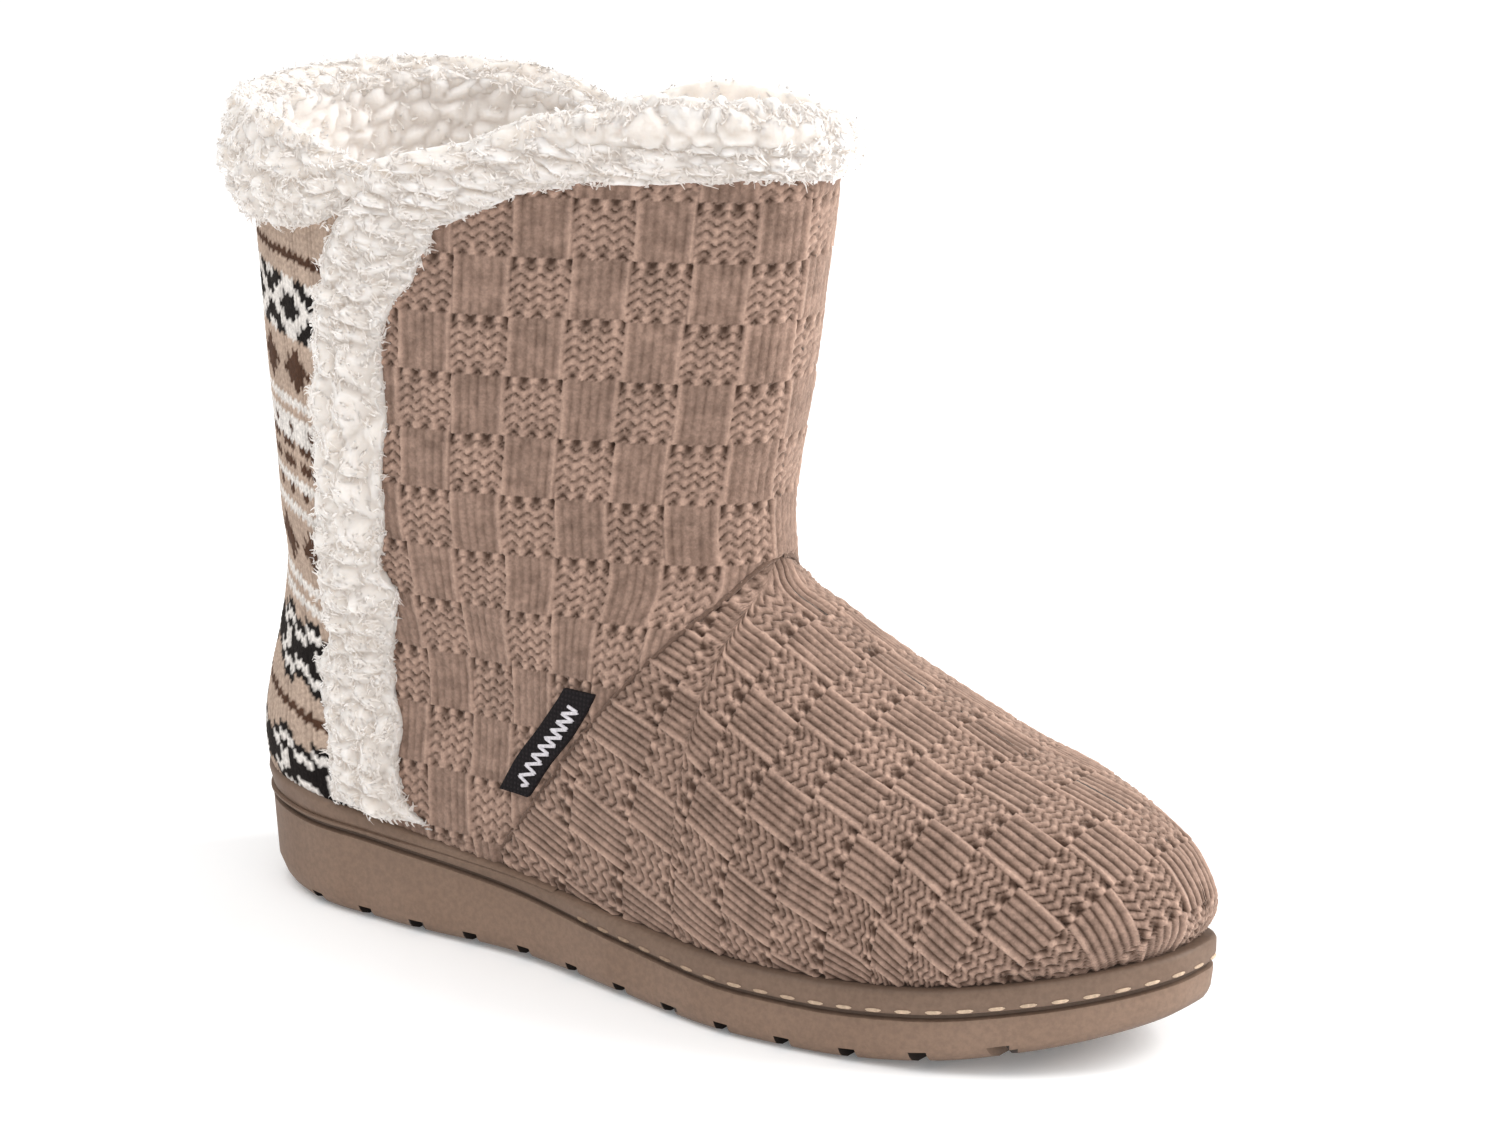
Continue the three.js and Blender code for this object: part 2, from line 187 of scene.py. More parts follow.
@dataclass(frozen=True)
class TuftField:
    """Leaning woolly tufts around scattered middles, in shares of a tuft's size."""

    size: float
    seed: int
    lean: float = 0.16
    least_lean: float = 0.4
    stray: float = 0.5
    stray_scale: float = 1.3
    margin: float = 0.15
    spread: float = 0.7
    crease: float = 0.75
    shoulder: float = 0.8
    lowest: float = 0.6
    # Distance that the search for the nearest middles starts from
    far: float = 9.0

    def __call__(self, x: Array, y: Array) -> tuple[Array, Array, Array]:
        """Height and lean of the tufts.

        Args:
            x: millimetres one way.
            y: millimetres the other way.

        Returns:
            Height, 0 in the creases and 1 on top, and the shift in x and in y in millimetres.
        """
        x, y = x / self.size, y / self.size
        x = x + self.stray * self.drift(x, y, self.seed + 40)
        y = y + self.stray * self.drift(x, y, self.seed + 50)
        i, j = np.floor(x), np.floor(y)
        near, second = np.full(np.shape(x), self.far), np.full(np.shape(x), self.far)
        a, b = i, j
        for di in (-1, 0, 1):
            for dj in (-1, 0, 1):
                ci, cj = i + di, j + dj
                dx = x - ci - self.margin - self.spread * lattice(ci, cj, self.seed)
                dy = y - cj - self.margin - self.spread * lattice(ci, cj, self.seed + 17)
                d = np.hypot(dx, dy)
                closer = d < near
                second = np.where(closer, near, np.minimum(second, d))
                near = np.where(closer, d, near)
                a, b = np.where(closer, ci, a), np.where(closer, cj, b)
        edge = np.clip((second - near) / self.crease, 0, 1)
        tall = self.lowest + (1 - self.lowest) * lattice(a, b, self.seed + 3)
        lump = tall * smooth(edge**self.shoulder)
        way = math.tau * lattice(a, b, self.seed + 7)
        shift = self.lean * self.size * (self.least_lean + lattice(a, b, self.seed + 9)) * lump**2
        return lump, shift * np.cos(way), shift * np.sin(way)

    def drift(self, x: Array, y: Array, seed: int) -> Array:
        """Noise around 0 that moves the middles."""
        return value_noise(x * self.stray_scale, y * self.stray_scale, seed) - 0.5


class Last:
    """The shoe's form in millimetres: the sole's outline and the upper's rings."""

    HEEL_X = -6.0
    TOE_X = 269.5
    TOE_SWING = 9.0
    SOLE_END = 0.7
    WALL = 3.0
    GAP = 0.3
    # Share of the length, half width on the outer and on the inner side
    OUTLINE = (
        (0.00, 56.0, 54.0), (0.10, 54.0, 51.0), (0.20, 47.0, 43.5), (0.35, 42.0, 32.0),
        (0.50, 48.5, 32.0), (0.65, 57.0, 39.5), (0.80, 58.5, 43.0), (0.91, 53.5, 37.5),
        (1.00, 42.0, 28.0),
    )
    # Share of the length, height of the tread and of the rim
    HEIGHT = (
        (0.00, 0.0, 27.0), (0.20, 0.0, 25.5), (0.36, 0.7, 23.2), (0.42, 0.7, 22.2),
        (0.56, 0.0, 20.6), (0.72, 0.0, 20.0), (0.82, 2.0, 21.5), (0.91, 6.5, 25.0),
        (1.00, 13.5, 30.0),
    )
    # Height step, x and z at the back, x and z at the front, share of the outline's width,
    # half width of the shaft, its taper, share of the foot, power of the ends, share of the rim's rise
    RINGS = (
        (0.00, -3.0, 27.3, 265.5, 30.3, 0.950, 44.0, 0.00, 1.00, 0.70, 1.00),
        (0.05, -7.0, 36.0, 269.5, 38.0, 0.990, 44.0, 0.00, 1.00, 0.70, 0.80),
        (0.12, -8.5, 47.0, 264.5, 49.5, 0.990, 44.0, 0.00, 1.00, 0.75, 0.50),
        (0.18, -8.0, 57.0, 249.0, 60.0, 0.965, 44.0, 0.00, 1.00, 0.84, 0.25),
        (0.25, -6.5, 68.0, 220.0, 69.0, 0.940, 44.0, 0.00, 0.95, 0.97, 0.10),
        (0.33, -5.0, 79.0, 193.0, 79.5, 0.920, 44.0, 0.10, 0.80, 1.00, 0.00),
        (0.41, -3.5, 92.0, 167.0, 92.5, 0.920, 45.5, 0.20, 0.50, 0.96, 0.00),
        (0.48, -2.5, 105.0, 151.0, 104.5, 0.920, 47.0, 0.30, 0.20, 0.90, 0.00),
        (0.55, -2.0, 120.0, 149.5, 120.0, 0.920, 48.5, 0.33, 0.00, 0.85, 0.00),
        (0.70, -3.5, 152.0, 155.0, 153.0, 0.920, 50.5, 0.38, 0.00, 0.80, 0.00),
        (1.00, -6.5, 213.0, 164.0, 215.0, 0.920, 54.0, 0.45, 0.00, 0.78, 0.00),
        (1.10, -7.0, 233.0, 167.0, 236.0, 0.920, 55.0, 0.47, 0.00, 0.78, 0.00),
    )
    # Degrees and height step of the rear border, then of the front border
    STRIP = (
        (47.0, 0.030, 60.5, 0.030), (46.5, 0.100, 59.5, 0.100), (46.5, 0.190, 60.5, 0.190),
        (49.5, 0.290, 66.0, 0.290), (53.0, 0.380, 72.5, 0.380), (57.5, 0.460, 78.0, 0.460),
        (61.0, 0.540, 81.5, 0.540), (62.0, 0.650, 81.5, 0.650), (63.0, 0.740, 81.5, 0.735),
        (65.5, 0.810, 84.5, 0.795), (69.5, 0.870, 89.0, 0.850), (74.5, 0.930, 94.0, 0.895),
        (82.0, 0.968, 101.0, 0.925), (96.0, 0.998, 111.0, 0.945),
        (112.0, 1.018, 122.0, 0.955), (135.0, 1.020, 139.0, 0.962),
        (158.0, 1.018, 160.0, 0.960), (180.0, 1.020, 180.0, 0.956),
    )
    # Degrees from the back, height step on the outer and on the inner side
    TOP_LINE = (
        (0, 0.985, 0.985), (45, 0.985, 0.985), (68, 0.965, 0.965), (80, 0.945, 0.940),
        (92, 0.965, 0.945), (110, 0.995, 0.960), (135, 1.000, 0.970), (180, 1.000, 1.000),
    )

    # Rows of the strip's table that run up the side
    SIDE_ROWS = 11
    # Share of the shaft's depth where it starts to narrow to the front
    TAPER_FROM = 0.3
    # Share of the sole's length that counts as heel
    HEEL_SHARE = 0.3

    def __init__(self) -> None:
        """Makes the curves of all tables."""
        self.outline = Curve(self.OUTLINE)
        self.height = Curve(self.HEIGHT)
        self.rings = Curve(self.RINGS)
        self.top_line = Curve(self.TOP_LINE)
        last = len(self.STRIP) - 1
        self.strip = Curve([(i / last, *row) for i, row in enumerate(self.STRIP)])
        side = np.array(self.STRIP[: self.SIDE_ROWS])
        self.strip_line = Curve(np.column_stack([side[:, 1], (side[:, 0] + side[:, 2]) / 2]))

    def station(self, x: Array) -> Array:
        """Share of the way from heel to toe."""
        return np.clip((x - self.HEEL_X) / (self.TOE_X - self.HEEL_X), 0, 1)

    def underside(self, x: Array) -> Array:
        """Height of the tread."""
        return self.height(self.station(x))[..., 0]

    def rim(self, x: Array) -> Array:
        """Height of the sole's rim."""
        return self.height(self.station(x))[..., 1]

    def face(self, turn: Array, v: Array) -> Array:
        """Outer face of the upper.

        Args:
            turn: angle around the ring from the back, outer side first.
            v: height step of the ring.

        Returns:
            Points, coordinates last.
        """
        ring = np.moveaxis(self.rings(v), -1, 0)
        back_x, back_z, front_x, front_z, girth, shaft, taper, foot, end, follow = ring
        s = (1 - np.cos(turn)) / 2
        x = back_x + (front_x - back_x) * s
        share = self.station(x)
        low, high = self.height(0.0)[1], self.height(1.0)[1]
        z = back_z + (front_z - back_z) * s
        z = z + follow * (self.height(share)[..., 1] - (low + (high - low) * s))
        oval = shaft * (1 - taper * smooth((s - self.TAPER_FROM) / (1 - self.TAPER_FROM)))
        wide = self.outline(share)
        outer = np.sin(turn) > 0
        half = np.where(outer, wide[..., 0], wide[..., 1]) * girth * foot
        reach = (half + oval * (1 - foot)) * np.abs(np.sin(turn)) ** end
        y = np.where(outer, -reach, reach) + self.TOE_SWING * share * foot
        return np.stack([x, y, z], -1)

    def normal(self, turn: Array, v: Array) -> Array:
        """Outward direction of the upper's face.

        Args:
            turn: angle around the ring.
            v: height step of the ring.

        Returns:
            Unit vectors, coordinates last.
        """
        h = 2e-3
        top = self.RINGS[-1][0]
        across = self.face(turn + h, v) - self.face(turn - h, v)
        up = self.face(turn, np.minimum(v + h, top)) - self.face(turn, np.maximum(v - h, 0))
        return unit(np.cross(across, up))

    def columns(self, start: float, end: float, v: float, cell: float) -> ArrayPair:
        """Even columns around a part of one ring.

        Args:
            start: first angle.
            end: last angle.
            v: height step of the ring.
            cell: millimetres between columns.

        Returns:
            Millimetres from the first angle, and angles.
        """
        turn = np.linspace(start, end, RING_SAMPLES)
        arc = run_length(self.face(turn, v))
        p = np.linspace(0, arc[-1], int(arc[-1] / cell))
        return p, np.interp(p, arc, turn)

    @staticmethod
    def turn_at(ring: Array, x: Array) -> Array:
        """Angle from 0 at the back to pi at the front where a ring, columns last, passes x."""
        s = np.clip((x - ring[..., 0]) / (ring[..., 2] - ring[..., 0]), 0, 1)
        return np.arccos(np.clip(1 - 2 * s, -1, 1))

    def skin(self, turn: Array, v: Array, lift: Array | float) -> Array:
        """The upper's face moved along its normal."""
        lift = np.asarray(lift, float)
        return self.face(turn, v) + self.normal(turn, v) * lift[..., None]

    def top(self, turn: Array) -> Array:
        """Height step of the wall's top edge.

        Args:
            turn: angle around the ring.

        Returns:
            Height steps.
        """
        degrees = np.degrees(turn) % 360
        ends = self.top_line(np.where(degrees <= 180, degrees, 360 - degrees))
        return np.where(degrees <= 180, ends[..., 0], ends[..., 1])

    def strip_middle(self, v: Array) -> Array:
        """Angle of the side strip's middle line at a height step."""
        return np.radians(self.strip_line(v)[..., 0])

    def outline_point(self, turn: Array) -> Array:
        """Point of the sole's outline in plan.

        Args:
            turn: angle around the outline.

        Returns:
            Points in x and y.
        """
        s = (1 - np.cos(turn)) / 2
        wide = self.outline(s)
        side = np.where(np.sin(turn) > 0, -wide[..., 0], wide[..., 1])
        y = side * np.abs(np.sin(turn)) ** self.SOLE_END + self.TOE_SWING * s
        return np.stack([self.HEEL_X + (self.TOE_X - self.HEEL_X) * s, y], -1)

    def inset_point(self, turn: Array, inset: float, heel: float = 0.0) -> Array:
        """Point of the outline moved inward.

        Args:
            turn: angle around the outline.
            inset: millimetres inward.
            heel: further millimetres inward around the heel.

        Returns:
            Points in x and y.
        """
        h = 1e-3
        p = self.outline_point(turn)
        t = unit(self.outline_point(turn + h) - self.outline_point(turn - h))
        out = np.stack([t[..., 1], -t[..., 0]], -1)
        near = smooth(1 - self.station(p[..., 0]) / self.HEEL_SHARE)
        return p - out * (inset + heel * near)[..., None]


LAST = Last()


def grid_quads(rows: int, cols: int, wrap: bool = False) -> Array:
    """Quads of a regular grid.

    Args:
        rows: lines of points.
        cols: points in a line.
        wrap: closes each line to a ring.

    Returns:
        Four point numbers per quad.
    """
    j, k = np.meshgrid(np.arange(rows - 1), np.arange(cols if wrap else cols - 1), indexing="ij")
    n = (k + 1) % cols
    here, above = j * cols, (j + 1) * cols
    return np.stack([here + k, here + n, above + n, above + k], -1).reshape(-1, 4)


def drop_unused(points: Array, faces: Array, fields: Fields) -> MeshData:
    """Leaves out points that no face uses.

    Args:
        points: all points.
        faces: the kept faces.
        fields: values per point.

    Returns:
        Points, faces and fields without the unused points.
    """
    used, numbers = np.unique(faces, return_inverse=True)
    return points[used], numbers.reshape(faces.shape), {k: f[used] for k, f in fields.items()}


def row_place(points: Array) -> Array:
    """Metres in the row frame from millimetres in the construction frame."""
    return (np.asarray(points, float).reshape(-1, 3) - (FRAME_X, FRAME_Y, 0)) * MM


def read_places(items: bpy.types.bpy_prop_collection, key: str) -> Array:
    """Places of a mesh's points or faces.

    Args:
        items: the points or faces.
        key: property that holds their place.

    Returns:
        Points in the construction frame, in millimetres.
    """
    flat = np.empty(3 * len(items))
    items.foreach_get(key, flat)
    return flat.reshape(-1, 3) / MM + (FRAME_X, FRAME_Y, 0)


def link(name: str, data: bpy.types.ID) -> Object:
    """Puts an object into the scene.

    Args:
        name: object name.
        data: its mesh, lamp or lens.

    Returns:
        The object.
    """
    obj = bpy.data.objects.new(name, data)
    bpy.context.scene.collection.objects.link(obj)
    return obj


def build_mesh(
    name: str,
    points: Array,
    faces: Array,
    fields: Fields | None = None,
    smooth_faces: int | None = None,
) -> Object:
    """Makes a mesh object from millimetre points.

    Args:
        name: object name.
        points: points in the part's construction frame.
        faces: triangles or quads.
        fields: point attributes, one value or four per point.
        smooth_faces: how many faces, from the first, are shaded smooth; all where not given.

    Returns:
        The linked object, in metres in the row frame.
    """
    place = row_place(points)
    mesh = bpy.data.meshes.new(name)
    sides = faces.shape[1]
    mesh.vertices.add(len(place))
    mesh.vertices.foreach_set("co", place.astype(np.float32).ravel())
    mesh.loops.add(faces.size)
    mesh.loops.foreach_set("vertex_index", faces.astype(np.int32).ravel())
    mesh.polygons.add(len(faces))
    mesh.polygons.foreach_set("loop_start", np.arange(0, faces.size, sides, dtype=np.int32))
    mesh.update(calc_edges=True)
    count = len(faces) if smooth_faces is None else smooth_faces
    mesh.polygons.foreach_set("use_smooth", np.arange(len(faces)) < count)
    for key, values in (fields or {}).items():
        plain = values.ndim == 1
        layer = mesh.attributes.new(key, "FLOAT" if plain else "FLOAT_COLOR", "POINT")
        layer.data.foreach_set("value" if plain else "color", values.astype(np.float32).ravel())
    return link(name, mesh)


def place_piece(obj: Object, node: str, material: Material) -> None:
    """Dresses a piece, lets it ride on the body and stand for its node.

    Args:
        obj: the piece.
        node: node that it stands for.
        material: its finish.
    """
    obj.data.materials.append(material)
    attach(obj, BODY)
    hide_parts(node)
    LOG.info("%s: %d faces for %s", obj.name, len(obj.data.polygons), node)


class Graph:
    """Short way to write shader nodes."""

    NOISE_RANGE = (0.3, 0.7)

    def __init__(self, tree: NodeTree) -> None:
        """Keeps the tree."""
        self.tree = tree

    def add(self, kind: str, inputs: Inputs | None = None, **settings: object) -> bpy.types.Node:
        """Adds a node, sets its properties and fills its inputs.

        Args:
            kind: node type without its ShaderNode prefix.
            inputs: socket name or number to a value or an output socket.
            settings: node properties.

        Returns:
            The node.
        """
        node = self.tree.nodes.new("ShaderNode" + kind)
        for key, value in settings.items():
            setattr(node, key, value)
        self.fill(node, inputs or {})
        return node

    def fill(self, node: bpy.types.Node, inputs: Inputs) -> None:
        """Links or sets inputs of a node.

        Args:
            node: the node.
            inputs: socket name or number to a value or an output socket.
        """
        for key, value in inputs.items():
            if isinstance(value, Socket):
                self.tree.links.new(value, node.inputs[key])
            else:
                node.inputs[key].default_value = value

    def mix(self, share: object, low: object, high: object, blend: str = "MIX") -> Socket:
        """Mixes two colours."""
        inputs = {0: share, 6: low, 7: high}
        return self.add("Mix", inputs, data_type="RGBA", blend_type=blend).outputs[2]

    def math(self, kind: str, *values: object) -> Socket:
        """One arithmetic step."""
        return self.add("Math", dict(enumerate(values)), operation=kind).outputs[0]

    def ramp(self, value: Socket, source: Pair, target: Pair) -> Socket:
        """Maps a range of values softly to another."""
        inputs = dict(enumerate((value, *source, *target)))
        return self.add("MapRange", inputs, interpolation_type="SMOOTHSTEP").outputs[0]

    def spread(self, noise: Socket, low: float, high: float) -> Socket:
        """Maps the main range of a noise softly to another."""
        return self.ramp(noise, self.NOISE_RANGE, (low, high))

    def noise(self, coords: Socket, scale: object, detail: float, rough: float = 0.5) -> Socket:
        """Noise over coordinates."""
        inputs = {"Vector": coords, "Scale": scale, "Detail": detail, "Roughness": rough}
        return self.add("TexNoise", inputs).outputs[0]

    def bands(self, coords: Socket, scale: float, way: str) -> Socket:
        """Even bands across one axis."""
        inputs = {"Vector": coords, "Scale": scale}
        return self.add("TexWave", inputs, bands_direction=way).outputs[1]

    def bump(self, height: Socket, strength: float, reach: float) -> Socket:
        """Normal raised by a height."""
        inputs = {"Height": height, "Strength": strength, "Distance": reach}
        return self.add("Bump", inputs).outputs[0]

    def grey(self, value: Socket) -> Socket:
        """Grey colour of a value."""
        return self.add("CombineColor", {0: value, 1: value, 2: value}).outputs[0]

    def coords(self) -> Socket:
        """Coordinates on the object."""
        return self.add("TexCoord").outputs["Object"]

    def field(self, name: str, output: str = "Fac") -> Socket:
        """Value that the mesh holds."""
        return self.add("Attribute", attribute_name=name).outputs[output]


def linear(level: float) -> float:
    """Linear value of one screen level in 0..255."""
    c = level / 255
    return c / 12.92 if c <= 0.04045 else ((c + 0.055) / 1.055) ** 2.4


def rgb(red: float, green: float, blue: float) -> Colour:
    """Linear colour from screen levels in 0..255."""
    return linear(red), linear(green), linear(blue), 1.0


class Finish:
    """Base of the finishes: one named material over a Principled shader."""

    name: str

    def inputs(self, g: Graph) -> Inputs:
        """Shader inputs, made in the material's graph; each finish has its own."""
        raise NotImplementedError

    def make(self) -> Material:
        """Builds the material.

        Returns:
            The material.
        """
        material = bpy.data.materials.new(self.name)
        material.use_nodes = True
        g = Graph(material.node_tree)
        g.fill(material.node_tree.nodes["Principled BSDF"], self.inputs(g))
        return material


@dataclass(frozen=True)
class YarnFibre:
    """Shared fibre of all yarns: a height for bump and a tint around one."""

    name: str = "yarn_fibre"
    fine_rough: float = 0.65
    fine_tint: Pair = (-0.16, 0.16)
    cloud_scale: float = 90.0
    cloud_tint: Pair = (0.93, 1.07)

    def make(self) -> NodeTree:
        """Builds the node group.

        Returns:
            Group with the input Scale and the outputs Height and Tint.
        """
        tree = bpy.data.node_groups.new(self.name, "ShaderNodeTree")
        for name, way in (("Scale", "INPUT"), ("Height", "OUTPUT"), ("Tint", "OUTPUT")):
            tree.interface.new_socket(name, in_out=way, socket_type="NodeSocketFloat")
        g = Graph(tree)
        source = tree.nodes.new("NodeGroupInput")
        sink = tree.nodes.new("NodeGroupOutput")
        coords = g.coords()
        fine = g.noise(coords, source.outputs["Scale"], detail=3.0, rough=self.fine_rough)
        cloud = g.noise(coords, self.cloud_scale, detail=2.0)
        tint = g.math("ADD", g.spread(fine, *self.fine_tint), g.spread(cloud, *self.cloud_tint))
        g.fill(sink, {"Height": fine, "Tint": tint})
        return tree


@dataclass(frozen=True)
class KnitFinish(Finish):
    """Dyed yarn with painted shade: its lit colour on the crests and a painted shade colour in the
    gaps.
    """

    name: str
    fibre: NodeTree
    # Lit colour of the yarn on the crests, and painted shade colour in the gaps between stitches
    crest: Colour = rgb(177, 148, 132)
    gap: Colour = rgb(74, 55, 45)
    from_chart: bool = False
    # Painted shade that darkens the chart's dyes in the gaps between stitches
    chart_gap_shade: Colour = rgb(120, 108, 102)
    fibre_scale: float = 900.0
    fibre_bump: float = 0.55
    fibre_reach: float = 0.0008
    rough: float = 0.92
    sheen: float = 0.45
    sheen_rough: float = 0.5
    sheen_tint: Colour = rgb(236, 212, 196)
    specular: float = 0.15

    def inputs(self, g: Graph) -> Inputs:
        """Shader inputs.

        Args:
            g: the material's graph.

        Returns:
            Values and sockets by input.
        """
        yarn = g.add("Group", {"Scale": self.fibre_scale}, node_tree=self.fibre).outputs
        dye, dark = self.crest, self.gap
        if self.from_chart:
            dye = g.field("dye", "Color")
            dark = g.mix(1.0, dye, self.chart_gap_shade, "MULTIPLY")
        # The shade field paints shade from the gaps up to the lit crests
        colour = g.mix(g.field("shade"), dark, dye)
        return {
            "Base Color": g.mix(1.0, colour, g.grey(yarn["Tint"]), "MULTIPLY"),
            "Normal": g.bump(yarn["Height"], self.fibre_bump, self.fibre_reach),
            "Roughness": self.rough,
            "Sheen Weight": self.sheen,
            "Sheen Roughness": self.sheen_rough,
            "Sheen Tint": self.sheen_tint,
            "Specular IOR Level": self.specular,
        }


@dataclass(frozen=True)
class FleeceFinish(Finish):
    """Cream curly pile with painted shade, darker and warmer where it lies deep, and a painted glow
    that lifts its shadows.
    """

    name: str = "sherpa"
    # Lit colour of the tips, and painted shade colour deep at the roots and in the creases
    tip: Colour = rgb(222, 217, 213)
    root: Colour = rgb(207, 199, 191)
    # Painted glow in the root colour, which lifts the shadows in the pile though it is no lamp
    glow: float = 0.2
    soft: float = 0.85
    soft_radius: tuple[float, float, float] = (1.0, 0.9, 0.8)
    soft_reach: float = 0.009
    rough: float = 0.95
    sheen: float = 0.3
    specular: float = 0.1
    fibre_scale: float = 1400.0
    fibre_rough: float = 0.7
    fibre_bump: float = 0.25
    fibre_reach: float = 0.0005

    def inputs(self, g: Graph) -> Inputs:
        """Shader inputs, made in the material's graph."""
        fine = g.noise(g.coords(), self.fibre_scale, detail=3.0, rough=self.fibre_rough)
        # Painted shade from the shade field, and a painted glow
        return {
            "Base Color": g.mix(g.field("shade"), self.root, self.tip),
            "Normal": g.bump(fine, self.fibre_bump, self.fibre_reach),
            "Roughness": self.rough,
            "Emission Color": self.root,
            "Emission Strength": self.glow,
            "Sheen Weight": self.sheen,
            "Specular IOR Level": self.specular,
            "Subsurface Weight": self.soft,
            "Subsurface Radius": self.soft_radius,
            "Subsurface Scale": self.soft_reach,
        }


@dataclass(frozen=True)
class RubberFinish(Finish):
    """Matte moulded rubber with a fine grain, faint scuffs and painted shade from the shade field."""

    name: str = "sole_rubber"
    colour: Colour = rgb(131, 107, 90)
    scuffed: Colour = rgb(118, 95, 79)
    # Colour toward which the shade field darkens: painted shade in the groove, slots and at the edges,
    # and the darker rand
    deep: Colour = rgb(40, 29, 23)
    grain_scale: float = 1800.0
    grain_bump: float = 0.12
    grain_reach: float = 0.0003
    speck_scale: float = 620.0
    speck_rough: float = 0.7
    speck: Pair = (0.9, 1.1)
    scuff_scale: float = 35.0
    scuff_range: Pair = (0.35, 0.7)
    scuff_share: float = 0.35
    rough: Pair = (0.55, 0.68)
    specular: float = 0.35

    def inputs(self, g: Graph) -> Inputs:
        """Shader inputs.

        Args:
            g: the material's graph.

        Returns:
            Values and sockets by input.
        """
        coords = g.coords()
        grain = g.noise(coords, self.grain_scale, detail=2.0)
        scuff = g.noise(coords, self.scuff_scale, detail=3.0)
        speck = g.noise(coords, self.speck_scale, detail=3.0, rough=self.speck_rough)
        wear_and_light = g.ramp(scuff, self.scuff_range, (0.0, self.scuff_share))
        colour = g.mix(wear_and_light, self.colour, self.scuffed)
        colour = g.mix(1.0, colour, g.grey(g.spread(speck, *self.speck)), "MULTIPLY")
        # Painted shade: the shade field darkens the rubber toward the deep colour
        return {
            "Base Color": g.mix(g.field("shade"), self.deep, colour),
            "Roughness": g.spread(scuff, *self.rough),
            "Normal": g.bump(grain, self.grain_bump, self.grain_reach),
            "Specular IOR Level": self.specular,
        }


@dataclass(frozen=True)
class ThreadFinish(Finish):
    """Spun thread or felt in one dye, with its fibre and, on a tape, its weave."""

    name: str
    fibre: NodeTree
    colour: Colour
    fibre_scale: float = 1500.0
    fibre_bump: float = 0.5
    fibre_reach: float = 0.0004
    weave: float = 0.0
    weave_range: Pair = (0.0, 0.8)
    weave_tint: Pair = (0.6, 1.35)
    rough: float = 0.85
    specular: float = 0.2

    def inputs(self, g: Graph) -> Inputs:
        """Shader inputs.

        Args:
            g: the material's graph.

        Returns:
            Values and sockets by input.
        """
        yarn = g.add("Group", {"Scale": self.fibre_scale}, node_tree=self.fibre).outputs
        tint, height = yarn["Tint"], yarn["Height"]
        if self.weave:
            coords = g.coords()
            warp, weft = g.bands(coords, self.weave, "Z"), g.bands(coords, self.weave, "X")
            cloth = g.math("MULTIPLY", warp, weft)
            tint = g.math("MULTIPLY", tint, g.ramp(cloth, self.weave_range, self.weave_tint))
            height = g.math("ADD", height, cloth)
        return {
            "Base Color": g.mix(1.0, self.colour, g.grey(tint), "MULTIPLY"),
            "Normal": g.bump(height, self.fibre_bump, self.fibre_reach),
            "Roughness": self.rough,
            "Specular IOR Level": self.specular,
        }


@dataclass(frozen=True)
class PlainFinish(Finish):
    """One even colour with a faint white glow, for the floor."""

    name: str
    colour: Colour
    rough: float
    glow: float
    specular: float = 0.2

    def inputs(self, g: Graph) -> Inputs:
        """Shader inputs; an even colour needs no nodes in the graph."""
        return {
            "Base Color": self.colour,
            "Roughness": self.rough,
            "Specular IOR Level": self.specular,
            "Emission Color": WHITE,
            "Emission Strength": self.glow,
        }


